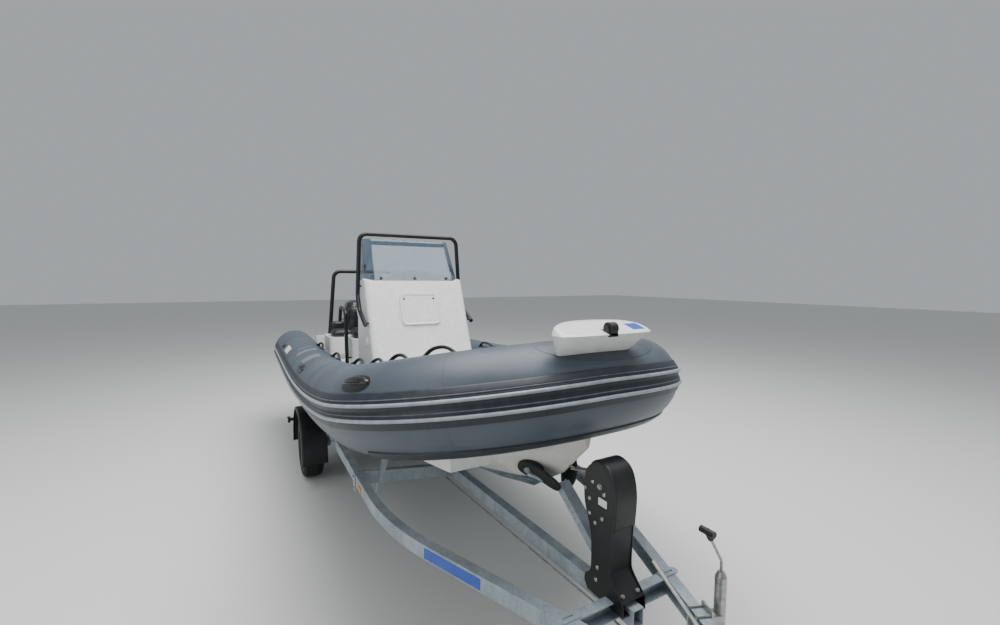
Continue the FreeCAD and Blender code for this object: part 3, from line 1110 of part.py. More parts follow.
rings = []
for z, lean, half, wing in ((SCREEN_LOW, 0, 452, SCREEN_WING),
                            (SCREEN_LOW + SCREEN_HEIGHT, SCREEN_RAKE, 432, SCREEN_WING * 0.5)):
    outer = screen_wire(z, lean, half, wing, 0)
    inner = screen_wire(z, lean, half, wing, SCREEN_THICK)
    outline = outer + inner[::-1]
    rings.append(Part.makePolygon(outline + [outline[0]]))
screen = Part.makeLoft(rings, True, True)
save("windscreen", screen.cut(side_plate(CONSOLE_SIDE, -CONSOLE_HALF - 5, CONSOLE_HALF + 5)))


# Console rail: one bent tube over the screen, its feet turned in on the console's sides

foot_y = CONSOLE_HALF + SEAT_GAP
hoop_foot = Vec(CONSOLE_TOP_X + 145, -HOOP_HALF, CONSOLE_TOP - 381)
rail_points = [hoop_foot, Vec(CONSOLE_TOP_X - 75, -HOOP_HALF, CONSOLE_TOP - 266),
               Vec(HOOP_X, -HOOP_HALF, CONSOLE_TOP - 126), Vec(HOOP_X - 20, -HOOP_HALF + 28, HOOP_TOP)]
rail_points += [Vec(p.x, -p.y, p.z) for p in reversed(rail_points)]
hoop = bent_bar(rail_points, HOOP_R, 75)
stubs = []
for x, z in ((hoop_foot.x - 28, hoop_foot.z + 16), (HOOP_X, CONSOLE_TOP - 46)):
    stubs.append(rod(Vec(x, -HOOP_HALF + 4, z), Vec(x, -foot_y, z), 9))
save("console_rail", fused([hoop] + stubs + [mirrored(s) for s in stubs]))


# Helm seat: moulded base, cushion, back roll and side rails

def pod(x0, x1, half, z0, z1, radius, taper):
    """Seat moulding with rounded upright corners, a little narrower at the foot."""
    low = block(x0, x1, -half, half, z0, z1)
    edges = [e for e in low.Edges if abs(e.tangentAt(e.FirstParameter).z) > 0.99]
    body = low.makeFillet(radius, edges)
    toe = block(x1 - taper, x1 + 5, -half - 5, half + 5, z0 - 1, z0 + 70)
    return body.cut(toe)


seat = pod(SEAT_BACK_X, SEAT_FRONT_X, SEAT_HALF, DECK_TOP + SEAT_GAP, SEAT_BASE_TOP, 50, 60)
cushion = block(SEAT_BACK_X + BACKREST_THICK + 12, SEAT_FRONT_X - 8, -SEAT_HALF + 8, SEAT_HALF - 8,
                SEAT_BASE_TOP + SEAT_GAP, SEAT_BASE_TOP + CUSHION_THICK)
cushion = cushion.makeFillet(20, [e for e in cushion.Edges
                                  if e.BoundBox.ZMax > SEAT_BASE_TOP + CUSHION_THICK / 2])
backrest = block(SEAT_BACK_X + 4, SEAT_BACK_X + BACKREST_THICK, -SEAT_HALF + 20, SEAT_HALF - 20,
                 SEAT_BASE_TOP + SEAT_GAP, BACKREST_TOP)
backrest = backrest.makeFillet(30, [e for e in backrest.Edges if e.BoundBox.ZMin > SEAT_BASE_TOP + 5])
side_y = SEAT_HALF + 28 + SEAT_RAIL_R
RAIL_TURN_Z = SEAT_BASE_TOP + 280.0
SEAT_RAIL = [Vec(x, -side_y, z)
             for x, z in ((SEAT_FRONT_X - 70, DECK_TOP + SEAT_GAP), (SEAT_FRONT_X - 110, RAIL_TURN_Z),
                          (SEAT_BACK_X + 120, RAIL_TURN_Z + 40), (SEAT_BACK_X + 60, RAIL_TURN_Z - 120))]
seat_rail = bent_bar(SEAT_RAIL, SEAT_RAIL_R, 50)
stubs = []
for x, z, inner_y in ((SEAT_FRONT_X - 80, SEAT_BASE_TOP - 200, -SEAT_HALF - SEAT_GAP),
                      (SEAT_BACK_X + 60, SEAT_BASE_TOP + 180, -SEAT_HALF + 20 - SEAT_GAP)):
    stubs.append(rod(Vec(x, -side_y + 4, z), Vec(x, inner_y, z), 8))
save("seat_rails", pair(fused([seat_rail] + stubs).cut(floor)))


# Stern bench and its cushions

bench = pod(BENCH_BACK_X, BENCH_FRONT_X, BENCH_HALF, DECK_TOP + SEAT_GAP, BENCH_TOP, 40, 50).cut(collar)
save("seat_bases", Part.makeCompound([seat, max(bench.Solids, key=lambda s: s.Volume)]))
bench_cushion = block(BENCH_BACK_X + 110, BENCH_FRONT_X - 6, -BENCH_HALF + 20, BENCH_HALF - 20,
                      BENCH_TOP + SEAT_GAP, BENCH_TOP + BENCH_CUSHION)
bench_back = block(BENCH_BACK_X + 4, BENCH_BACK_X + 98, -BENCH_HALF + 60, BENCH_HALF - 60,
                   BENCH_TOP + SEAT_GAP, BENCH_BACK_TOP)
save("seat_cushions", Part.makeCompound([cushion, backrest, bench_cushion.makeFillet(16, bench_cushion.Edges),
                                         bench_back.makeFillet(16, bench_back.Edges)]))


# Stern arch: bent tube with its feet on the transom knees

arch_foot_z = DECK_TOP + SEAT_GAP
arch_points = [Vec(ARCH_X, -ARCH_HALF_FOOT - 40, arch_foot_z), Vec(ARCH_X, -ARCH_HALF_FOOT, 1180),
               Vec(ARCH_X, -ARCH_HALF_TOP, ARCH_TOP)]
arch_points += [Vec(p.x, -p.y, p.z) for p in reversed(arch_points)]
stern_arch = bent_bar(arch_points, ARCH_R, 90).cut(deck)
light = fused([Part.makeCylinder(20, 26, Vec(ARCH_X, 0, ARCH_TOP + ARCH_R - 2), UP),
               Part.makeCylinder(30, 44, Vec(ARCH_X, 0, ARCH_TOP + ARCH_R + 24), UP)])
save("stern_arch", fused([stern_arch, light]))


# Bow locker with its lid, bow step with the anchor roller

locker = block(LOCKER_BACK_X, LOCKER_FRONT_X, -LOCKER_HALF, LOCKER_HALF, DECK_TOP + SEAT_GAP, LOCKER_TOP)
locker = locker.cut(block(LOCKER_BACK_X + LOCKER_WALL, LOCKER_FRONT_X - LOCKER_WALL,
                          LOCKER_WALL - LOCKER_HALF, LOCKER_HALF - LOCKER_WALL,
                          DECK_TOP + 12, LOCKER_TOP + 1))
lid_z = LOCKER_TOP + SEAT_GAP
lid_edge_x = LOCKER_FRONT_X - 2
lid = block(LOCKER_BACK_X - 8, lid_edge_x, -LOCKER_HALF - 8, LOCKER_HALF + 8, lid_z, LOCKER_TOP + LID_THICK)
lid = lid.makeFillet(5, [e for e in lid.Edges if e.BoundBox.ZMin > LOCKER_TOP + LID_THICK - 1])

# the lid's hinges, at its front edge
lid_pin = Vec(LOCKER_FRONT_X + HINGE_R + 2, 0, LOCKER_TOP + 2)
for y in (-240.0, 240.0):
    y0, y1 = y - KNUCKLE, y + KNUCKLE
    foot = block(LOCKER_FRONT_X - 1, lid_pin.x, y0, y1, lid_pin.z - HINGE_R, lid_pin.z)
    locker = locker.fuse([foot, hinge_roll(lid_pin, y0, y1, HINGE_R)])
    locker = locker.cut(hinge_roll(lid_pin, y0, y1, HINGE_PIN_R + RUN_GAP))
    lid_side = [hinge_roll(lid_pin, y0 - KNUCKLE, y1 + KNUCKLE, HINGE_PIN_R)]
    for a, b in ((y0 - KNUCKLE, y0 - KNUCKLE_GAP), (y1 + KNUCKLE_GAP, y1 + KNUCKLE)):
        lid_side.append(hinge_roll(lid_pin, a, b, HINGE_R))
        lid_side.append(block(lid_edge_x - 4, lid_pin.x, a, b, lid_z + 1, lid_z + 6))
    lid = fused([lid] + lid_side)
save("bow_locker", locker.removeSplitter().cut(collar))
save("bow_locker_lid", lid)

# half outline of the bow step seen from above, forward of its aft edge, which follows the tube
STEP_AFT_X = STEP_FRONT_X - 212.0
STEP_HALF = ((0, 0), (14, 90), (95, 258), (140, 274), (192, 268), (212, 130), (212, 0))
# place up the step, and the outline's size there along and across the boat
STEP_LEVELS = ((STEP_TOP - STEP_SEAT, 0.50, 0.62), (STEP_TOP - STEP_KNUCKLE, 1.0, 1.0),
               (STEP_TOP + 20, 0.93, 0.93))


def step_wire(z, size_x, size_y):
    half = [Vec(STEP_AFT_X + x * size_x, y * size_y, z) for x, y in STEP_HALF]
    points = half + [Vec(p.x, -p.y, z) for p in reversed(half[1:-1])]
    return Part.makePolygon(points + [points[0]])


knuckle_z = STEP_TOP - STEP_KNUCKLE
crest_x = STEP_FRONT_X - STEP_KNUCKLE / STEP_SLOPE
above = side_plate([(STEP_AFT_X - 50, STEP_TOP), (crest_x, STEP_TOP), (STEP_FRONT_X, knuckle_z),
                    (STEP_FRONT_X + 50, knuckle_z - 50 * STEP_SLOPE), (STEP_FRONT_X + 50, STEP_TOP + 60),
                    (STEP_AFT_X - 50, STEP_TOP + 60)], -400, 400)
roller_at = Vec(STEP_FRONT_X - 22, 0, STEP_TOP - ROLLER_R + 6)
EAR_HALF = 27.0
notch_floor = roller_at.z - ROLLER_R - 9
notch = block(roller_at.x - ROLLER_R - 12, STEP_FRONT_X + 60, -EAR_HALF - SEAT_GAP, EAR_HALF + SEAT_GAP,
              notch_floor, STEP_TOP + 60)
step = Part.makeLoft([step_wire(*level) for level in STEP_LEVELS], True, True)
step = step.cut(above).cut(notch).cut(collar).cut(band)
save("bow_step", max(step.Solids, key=lambda s: s.Volume))

# the anchor roller on its pin between two ears, which stand on a foot in the notch
ear = side_plate([(roller_at.x - 30, notch_floor + SEAT_GAP), (roller_at.x + 20, notch_floor + SEAT_GAP),
                  (roller_at.x + 12, roller_at.z + 10), (roller_at.x - 12, roller_at.z + 14)],
                 EAR_HALF - 5, EAR_HALF)
foot = block(roller_at.x - 30, roller_at.x + 20, -EAR_HALF, EAR_HALF, notch_floor + SEAT_GAP, notch_floor + 5)
roller = rod(roller_at - Vec(0, EAR_HALF - 6, 0), roller_at + Vec(0, EAR_HALF - 6, 0), ROLLER_R)
roller_pin = rod(roller_at - Vec(0, EAR_HALF, 0), roller_at + Vec(0, EAR_HALF, 0), 6)
save("bow_roller", fused([roller, roller_pin, ear, mirrored(ear), foot]))


# Grab handles along the inner top of the collar: bent bars with feet on the fabric

def collar_spot(distance):
    """Point of the axis and direction at a distance from the middle of the bow, starboard side."""
    left = distance
    for a, b in zip(reversed(AXIS), list(reversed(AXIS))[1:]):
        step_length = (b - a).Length
        if left <= step_length:
            return a + (b - a) * (left / step_length), (b - a).normalize()
        left -= step_length
    return AXIS[0], Vec(-1, 0, 0)


def collar_seat(distance):
    """Point on the tube's inner top at a distance from the middle of the bow, and the way out of it."""
    at, run = collar_spot(distance)
    side_in = Vec(-run.y, run.x, 0).normalize()
    side_in = side_in if side_in.y > 0 else side_in * -1
    over = run.cross(side_in).normalize()
    over = over if over.z > 0 else over * -1
    out = side_in * math.sin(HANDLE_TILT) + over * math.cos(HANDLE_TILT)
    return at + out * (COLLAR_R + SEAT_GAP), out


# distance of each handle from the middle of the bow, and its length
HANDLES = ((730.0, 210.0), (1090.0, 260.0), (1500.0, 300.0), (2000.0, 300.0), (2900.0, 300.0),
           (3800.0, 300.0))
HANDLE_TILT = math.radians(24)
HANDLE_RISE = 46.0
HANDLE_BAR_R = 10.0
handles = []
for distance, length in HANDLES:
    top, top_out = collar_seat(distance)
    ends = [collar_seat(distance + side * length / 2) for side in (-1, 1)]
    arc = Part.Arc(ends[0][0], top + top_out * HANDLE_RISE, ends[1][0]).toShape()
    section = Part.Circle(ends[0][0], arc.tangentAt(arc.FirstParameter), HANDLE_BAR_R).toShape()
    bar = Part.Wire([arc]).makePipeShell([Part.Wire(section)], True, False)
    feet = [Part.makeCylinder(23, 8, foot, out) for foot, out in ends]
    handles.append(fused([bar] + feet).cut(collar))
save("grab_handles", Part.makeCompound(handles + [mirrored(h) for h in handles]))


# Outboard engine: clamp on the transom, tilting swivel, steered leg and cowl, propeller

clamp_half = 130.0
clamp_outline = [(TRANSOM_X - SEAT_GAP, 1010), (TRANSOM_X - SEAT_GAP, TILT_Z + 8),
                 (TILT_X + 24, TILT_Z + 30), (TILT_X - 26, TILT_Z + 24), (TILT_X - 30, TILT_Z - 20),
                 (TILT_X + 20, 1060), (TILT_X + 28, 1010)]
clamp_parts = [side_plate(clamp_outline, y, y + 16) for y in (-clamp_half, clamp_half - 16)]
hook = block(TRANSOM_X - 20, TRANSOM_X + TRANSOM_THICK + 14, -clamp_half, clamp_half,
             TRANSOM_TOP - 25 + SEAT_GAP, TRANSOM_TOP - 8)
tilt_pin = rod(Vec(TILT_X, -clamp_half, TILT_Z), Vec(TILT_X, clamp_half, TILT_Z), 14)
tie_low = block(TRANSOM_X - 22, TRANSOM_X - SEAT_GAP, -clamp_half, clamp_half, 1012, 1048)
save("engine_clamp", fused(clamp_parts + [hook, tilt_pin, tie_low]))

swivel_half = clamp_half - 16 - 8
swivel_low = 985.0
swivel_top = TILT_Z + 34
king_r = 18.0
tilt_sleeve = ring(40, 14 + RUN_GAP, Vec(TILT_X, -swivel_half, TILT_Z), Vec(0, 1, 0), 2 * swivel_half)
swivel_body = side_plate([(TILT_X - 10, TILT_Z - 34), (TILT_X - 10, swivel_top), (STEER_X, swivel_top),
                          (STEER_X, TILT_Z - 60), (STEER_X + 10, swivel_low), (STEER_X + 44, swivel_low),
                          (TILT_X - 30, TILT_Z - 60)], -60, 60)
swivel_post = Part.makeCylinder(46, swivel_top - swivel_low, Vec(STEER_X, 0, swivel_low), UP)
swivel = fused([tilt_sleeve, swivel_body, swivel_post])
swivel = swivel.cut(rod(Vec(TILT_X, -140, TILT_Z), Vec(TILT_X, 140, TILT_Z), 14 + RUN_GAP))
swivel = swivel.cut(Part.makeCylinder(king_r + RUN_GAP, 400, Vec(STEER_X, 0, swivel_low - 25), UP))
save("engine_swivel", swivel)

bracket_top = swivel_top + SEAT_GAP
yoke_top = bracket_top + 22
king_pin = Part.makeCylinder(king_r, bracket_top + 35 - swivel_low, Vec(STEER_X, 0, swivel_low - 25), UP)
top_yoke = block(STEER_X - 190, STEER_X + 22, -56, 56, bracket_top, yoke_top)
low_yoke = block(STEER_X - 110, STEER_X + 40, -52, 52, swivel_low - SEAT_GAP - 40, swivel_low - SEAT_GAP)
# height, front and rear behind the steering axis, half width of the leg's sections
LEG_TABLE = ((yoke_top, -60, -300, 110), (1120, -62, -300, 78), (900, -60, -260, 62), (740, -62, -245, 45))


def leg_wire(z, front, rear, half):
    xf, xr = STEER_X + front, STEER_X + rear
    side = [Vec(xf, 0, z), Vec(xf - 40, -half, z), Vec(xr + 60, -half, z), Vec(xr, -half * 0.4, z)]
    points = side + [Vec(p.x, -p.y, z) for p in reversed(side[1:])]
    return Part.makePolygon(points + [points[0]])


leg = Part.makeLoft([leg_wire(*row) for row in LEG_TABLE], True, True)
plate_z = PROP_Z + PROP_R + 8
plate_half = [(-40, 0), (-100, -62), (-270, -92), (-325, -60)]
plate_half += [(x, -y) for x, y in reversed(plate_half[1:])]
cavitation = plate([Vec(STEER_X + x, y, plate_z) for x, y in plate_half], Vec(0, 0, 10))
leg_low = side_plate([(STEER_X - 62, 745), (STEER_X - 70, PROP_Z), (STEER_X - 215, PROP_Z),
                      (STEER_X - 240, 745)], -20, 20)
torpedo_r = 44.0
torpedo_rear = STEER_X - 235
torpedo = Part.makeCylinder(torpedo_r, 150, Vec(torpedo_rear, 0, PROP_Z), Vec(1, 0, 0))
torpedo_nose = Part.makeCone(torpedo_r, 8, 110, Vec(torpedo_rear + 150, 0, PROP_Z), Vec(1, 0, 0))
skeg = side_plate([(STEER_X - 95, PROP_Z), (STEER_X - 225, PROP_Z), (STEER_X - 215, PROP_Z - 172),
                   (STEER_X - 170, PROP_Z - 176)], -6, 6)
prop_shaft = Part.makeCylinder(PROP_SHAFT_R, 70, Vec(torpedo_rear, 0, PROP_Z), Vec(-1, 0, 0))
save("engine_leg", fused([king_pin, prop_shaft, top_yoke, low_yoke, leg, cavitation, leg_low, torpedo,
                          torpedo_nose, skeg]))

cowl_low = yoke_top + SEAT_GAP
# height, front x, rear x, half width of the cowl's sections
COWL_TABLE = ((cowl_low, STEER_X - 20, STEER_X - 318, 120), (cowl_low + 60, STEER_X + 40, COWL_REAR_X, 160),
              (COWL_TOP - 120, STEER_X + 52, COWL_REAR_X + 8, COWL_HALF),
              (COWL_TOP - 30, STEER_X + 20, COWL_REAR_X + 40, 140),
              (COWL_TOP, STEER_X - 50, COWL_REAR_X + 90, 90))


def cowl_wire(z, front_x, rear_x, half):
    cut = half * 0.5
    side = [Vec(front_x, -half + cut, z), Vec(front_x - cut, -half, z), Vec(rear_x + cut * 0.7, -half, z),
            Vec(rear_x, -half + cut, z)]
    points = side + [Vec(p.x, -p.y, z) for p in reversed(side)]
    return Part.makePolygon(points + [points[0]])


save("engine_cowl", Part.makeLoft([cowl_wire(*row) for row in COWL_TABLE], True, True))

prop_x = torpedo_rear - SEAT_GAP
prop_hub = Part.makeCone(40, 30, 90, Vec(prop_x, 0, PROP_Z), Vec(-1, 0, 0))
prop_bore = Part.makeCylinder(PROP_SHAFT_R + RUN_GAP, 70 + SEAT_GAP, Vec(prop_x, 0, PROP_Z), Vec(-1, 0, 0))
BLADE = ((-18, 26), (-58, 80), (-48, 140), (6, PROP_R), (50, 128), (48, 70), (18, 26))
blade_flat = plate([Vec(prop_x - 46, y, r) for y, r in BLADE], Vec(6, 0, 0))
blade_flat.rotate(Vec(prop_x - 43, 0, 0), UP, 28)
blades = []
for k in range(3):
    blade = blade_flat.copy()
    blade.rotate(Vec(prop_x, 0, 0), Vec(1, 0, 0), 120 * k)
    blade.translate(Vec(0, 0, PROP_Z))
    blades.append(blade)
save("propeller", fused([prop_hub] + blades).cut(prop_bore))
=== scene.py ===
import math

import bmesh
import bpy
import numpy as np
from mathutils import Matrix, Vector


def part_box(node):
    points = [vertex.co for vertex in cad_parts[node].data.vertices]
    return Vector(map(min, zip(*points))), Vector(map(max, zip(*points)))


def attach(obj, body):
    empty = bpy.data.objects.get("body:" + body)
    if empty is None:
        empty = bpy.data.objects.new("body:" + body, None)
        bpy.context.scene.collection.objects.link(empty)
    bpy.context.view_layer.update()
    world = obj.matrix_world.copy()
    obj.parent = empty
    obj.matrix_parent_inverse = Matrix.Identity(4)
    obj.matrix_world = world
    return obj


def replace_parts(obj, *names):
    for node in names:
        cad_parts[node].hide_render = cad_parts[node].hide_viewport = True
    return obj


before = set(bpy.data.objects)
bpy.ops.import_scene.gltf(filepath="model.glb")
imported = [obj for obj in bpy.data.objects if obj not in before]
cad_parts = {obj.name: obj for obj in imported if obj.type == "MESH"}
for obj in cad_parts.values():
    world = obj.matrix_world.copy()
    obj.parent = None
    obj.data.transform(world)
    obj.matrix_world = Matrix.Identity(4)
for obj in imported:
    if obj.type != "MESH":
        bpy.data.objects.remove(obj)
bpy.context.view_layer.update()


# Trailer frame: C-section side rails, a box beam up the middle, crossmembers, clamps, posts and axle.
# Rolled and welded mild steel, hot-dip galvanised after welding: a dull pale grey zinc skin with
# large soft crystals (spangle), paler runs where the zinc drained, and a little grime.

def linear(code, alpha=1.0):
    """sRGB hex to linear light: c/12.92 near black, else ((c + 0.055)/1.055)^2.4."""
    parts = [int(code[k:k + 2], 16) / 255 for k in (1, 3, 5)]
    return [c / 12.92 if c <= 0.04045 else ((c + 0.055) / 1.055) ** 2.4 for c in parts] + [alpha]


def add(material, kind, sockets=(), **settings):
    """One more node: settings are its properties, sockets gives an input a value or another node's output."""
    made = material.node_tree.nodes.new("ShaderNode" + kind)
    for key, value in settings.items():
        setattr(made, key, value)
    for key, value in dict(sockets).items():
        if isinstance(value, bpy.types.NodeSocket):
            material.node_tree.links.new(value, made.inputs[key])
        else:
            made.inputs[key].default_value = value
    return made


def finish(name, base, metallic, roughness, **sockets):
    """A material that starts from one hex colour; returns it with its shader and the Object place."""
    made = bpy.data.materials.new(name)
    made.use_nodes = True
    made.node_tree.nodes.clear()
    shader = add(made, "BsdfPrincipled", {"Base Color": linear(base), "Metallic": metallic, "Roughness": roughness})
    for key, value in sockets.items():
        shader.inputs[key.replace("_", " ")].default_value = value
    add(made, "OutputMaterial", {"Surface": shader.outputs[0]})
    return made, shader, add(made, "TexCoord").outputs["Object"]


def link(material, output, shader, socket):
    material.node_tree.links.new(output, shader.inputs[socket])


def shade(material, factor, stops):
    """Colours between hex stops (place, colour), blended by a factor from 0 to 1."""
    ramp = add(material, "ValToRGB", {0: factor})
    while len(ramp.color_ramp.elements) < len(stops):
        ramp.color_ramp.elements.new(0.5)
    for element, (place, colour) in zip(ramp.color_ramp.elements, stops):
        element.position = place
        element.color = linear(colour)
    return ramp.outputs[0]


def span(material, factor, low, high):
    """A factor from 0 to 1 stretched to low..high."""
    return add(material, "MapRange", {0: factor, 3: low, 4: high}).outputs[0]


def relief(material, shader, height, depth, strength=1.0):
    """Surface relief of a height field from 0 to 1, depth in metres."""
    bump = add(material, "Bump", {"Height": height, "Distance": depth, "Strength": strength})
    link(material, bump.outputs[0], shader, "Normal")
    return bump


def coat(material, *names):
    """Gives CAD nodes a material."""
    for name in names:
        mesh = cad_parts[name].data
        mesh.materials.clear()
        mesh.materials.append(material)


def form(name, points, faces, material, body="root", sharp=35.0, facing=None):
    """Mesh from arrays of points and faces, riding on a body. Doubled points at seams and poles are merged,
    then a closed form's normals are turned outwards and an open sheet's towards a direction."""
    mesh = bpy.data.meshes.new(name)
    mesh.from_pydata(np.asarray(points).reshape(-1, 3), [], faces)
    work = bmesh.new()
    work.from_mesh(mesh)
    bmesh.ops.remove_doubles(work, verts=work.verts, dist=1e-5)
    bmesh.ops.dissolve_degenerate(work, edges=work.edges, dist=1e-6)
    if facing is None:
        bmesh.ops.recalc_face_normals(work, faces=work.faces)
    elif sum((f.normal * f.calc_area() for f in work.faces), Vector()).dot(Vector(facing)) < 0:
        bmesh.ops.reverse_faces(work, faces=work.faces)
    work.to_mesh(mesh)
    work.free()
    mesh.shade_smooth()
    mesh.set_sharp_from_angle(angle=math.radians(sharp))
    mesh.materials.append(material)
    piece = bpy.data.objects.new(name, mesh)
    bpy.context.scene.collection.objects.link(piece)
    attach(piece, body)
    return piece


def soften(piece, width, segments=3):
    """Rounds a piece's edges that turn by more than 30 degrees."""
    edge = piece.modifiers.new("edges", "BEVEL")
    edge.width, edge.segments, edge.limit_method, edge.angle_limit = width, segments, "ANGLE", math.radians(30)
    return piece


def rounded(points, radius, steps=6):
    """Closed outline with each corner p turned to an arc (1-k)^2 a + 2k(1-k) p + k^2 b, where a and b lie a
    radius away from p along its two sides, or two fifths of a shorter side."""
    p = np.asarray(points, float)
    k = np.linspace(0, 1, steps)[None, :, None]
    ends = []
    for side in (np.roll(p, 1, axis=0) - p, np.roll(p, -1, axis=0) - p):
        length = np.linalg.norm(side, axis=1, keepdims=True)
        ends.append((p + side / length * np.minimum(radius, 0.4 * length))[:, None])
    return ((1 - k) ** 2 * ends[0] + 2 * k * (1 - k) * p[:, None] + k ** 2 * ends[1]).reshape(-1, p.shape[1])


def slab(name, outline, at, thick, material, edge=0.0, body="root"):
    """Plate with an outline (u, v). Its points are origin + u across + v up, from 0 to the thickness along
    the normal of the two."""
    origin, across, up = (np.asarray(v, float) for v in at)
    flat = np.asarray(outline, float)
    low = origin + flat[:, :1] * across + flat[:, 1:] * up
    k = np.arange(len(low))
    after = (k + 1) % len(low)
    walls = np.stack([k, after, after + len(low), k + len(low)], axis=1).tolist()
    points = np.vstack([low, low + np.cross(across, up) * thick])
    piece = form(name, points, walls + [k[::-1].tolist(), (k + len(low)).tolist()], material, body)
    return soften(piece, edge, 2) if edge else piece


def studs(name, places, normals, profile, sides, material, body="root"):
    """Turned heads in one mesh: a profile of (radius, height) carried round each place's normal.
    Six sides make a nut."""
    n = np.broadcast_to(np.asarray(normals, float), np.shape(places))
    n = n / np.linalg.norm(n, axis=1, keepdims=True)
    a = np.cross(n, np.where(np.abs(n[:, 2:]) > 0.9, (1.0, 0, 0), (0, 0, 1.0)))
    a = a / np.linalg.norm(a, axis=1, keepdims=True)
    b = np.cross(n, a)
    t = np.linspace(0, 2 * np.pi, sides, endpoint=False)[None, None, :, None]
    r, h = (v[None, :, None, None] for v in np.asarray(profile, float).T)
    centre, n, a, b = (np.asarray(v, float)[:, None, None] for v in (places, n, a, b))
    grid = centre + r * (np.cos(t) * a + np.sin(t) * b) + h * n
    index = np.arange(grid[..., 0].size).reshape(grid.shape[:3])
    index = np.concatenate([index, index[:, :, :1]], axis=2)
    quads = np.stack([index[:, :-1, :-1], index[:, 1:, :-1], index[:, 1:, 1:], index[:, :-1, 1:]], axis=-1)
    return form(name, grid, quads.reshape(-1, 4).tolist(), material, body, 30.0)


SPANGLE = 0.009                 # zinc crystal, metres
DRAIN = 0.11                    # width of a paler run of zinc
galvanised, shader, place = finish("hot_dip_galvanised_steel", "#9aa3aa", 0.35, 0.5)
crystals = add(galvanised, "TexVoronoi", {"Vector": place, "Scale": 1 / SPANGLE})
tone = add(galvanised, "SeparateColor", {0: crystals.outputs["Color"]}).outputs[0]
stretch = add(galvanised, "Mapping", {"Vector": place, "Scale": (1.0, 1.0, 0.35)}).outputs[0]
runs = add(galvanised, "TexNoise", {"Vector": stretch, "Scale": 1 / DRAIN, "Detail": 5.0,
                                    "Roughness": 0.65}).outputs[0]
mixed = add(galvanised, "Math", {0: tone, 1: 0.16, 2: runs}, operation="MULTIPLY_ADD")
link(galvanised, shade(galvanised, mixed.outputs[0], ((0.3, "#7e8a92"), (0.58, "#9aa5ac"), (0.85, "#b9c2c8"))),
     shader, "Base Color")
link(galvanised, span(galvanised, mixed.outputs[0], 0.6, 0.4), shader, "Roughness")
relief(galvanised, shader, runs, 0.0008, 0.3)
coat(galvanised, "side_rails", "centre_beam", "crossmembers", "frame_brackets", "roller_forks", "support_posts",
     "axle", "lamp_bar", "overrun_housing", "stem_support")


# Keel rollers, pads and bunks. The rollers and pads are moulded black rubber, greyed by dust; the
# bunks are timber boards wrapped in dark ribbed carpet so that they don't mark the hull.

def patterned(name, base, metallic, roughness, scale, detail, stops, gloss=None, bump=None, grain=None,
              kind="TexNoise", **sockets):
    """A material that follows one texture of a scale and detail. stops are its colours, gloss its lowest and
    highest roughness, bump its relief's depth and strength; grain gives the relief a noise of its own."""
    made, shader, place = finish(name, base, metallic, roughness, **sockets)
    factor = add(made, kind, {"Vector": place, "Scale": scale, "Detail": detail}).outputs[0]
    link(made, shade(made, factor, stops), shader, "Base Color")
    if gloss:
        link(made, span(made, factor, *gloss), shader, "Roughness")
    if grain:
        factor = add(made, "TexNoise", {"Vector": place, "Scale": grain[0], "Detail": grain[1]}).outputs[0]
    if bump:
        relief(made, shader, factor, *bump)
    return made


rubber = patterned("moulded_black_rubber", "#151617", 0.0, 0.62, 30.0, 5.0, ((0.35, "#111213"), (0.75, "#232527")),
                   bump=(0.0004, 0.5))
coat(rubber, "keel_rollers", "support_pads")
carpet = patterned("marine_carpet", "#24262a", 0.0, 0.95, 400.0, 2.0, ((0.3, "#17181b"), (0.7, "#34373c")),
                   bump=(0.002,))
coat(carpet, "bunks")


# Labels and reflectors on the rails: a plain blue vinyl strip on the starboard neck, stuck to the zinc,
# and an amber moulded reflector by the clamp on each side, whose prisms glitter: paler amber cells are painted on as
# glints.

def oblong(low, high, radius, steps=6):
    """Rectangle between two corners (u, v), with rounded corners."""
    return rounded([low, (high[0], low[1]), high, (low[0], high[1])], radius, steps)


NECK_TURN = math.radians(21.35)
VINYL = 0.0008                  # thickness of a label
blue_vinyl = patterned("printed_vinyl_label", "#1350b4", 0.0, 0.3, 18.0, 4.0, ((0.3, "#0d49b0"), (0.75, "#2159bd")),
                       Coat_Weight=0.3)
along_neck = (math.cos(NECK_TURN), math.sin(NECK_TURN), 0)
slab("rail_label", oblong((0, 0), (0.397, 0.058), 0.004), ((1.311, -0.6407, 0.479), along_neck, (0, 0, 1)), VINYL,
     blue_vinyl)

# the reflector's paler amber cells are painted glints of its prisms
amber = patterned("amber_reflector_acrylic", "#d9820f", 0.0, 0.15, 260.0, 0.0, ((0.1, "#c06c08"), (0.7, "#f0a53a")),
                  bump=(0.001, 0.6), kind="TexVoronoi", Coat_Weight=0.5)
SIDES = (("starboard", -1), ("port", 1))
for name, side in SIDES:
    at = (0.335 if side < 0 else 0.415, side * 0.7662, 0.478), (-side, 0, 0), (0, 0, 1)
    slab("side_reflector_" + name, oblong((0, 0), (0.08, 0.034), 0.006), at, 0.006, amber, 0.0015)


# Fasteners of the frame: nuts with their stud ends on the clamps, and domed bolt heads on the crossmembers.
# Turned steel under a thin bright zinc plate that the weather has clouded.

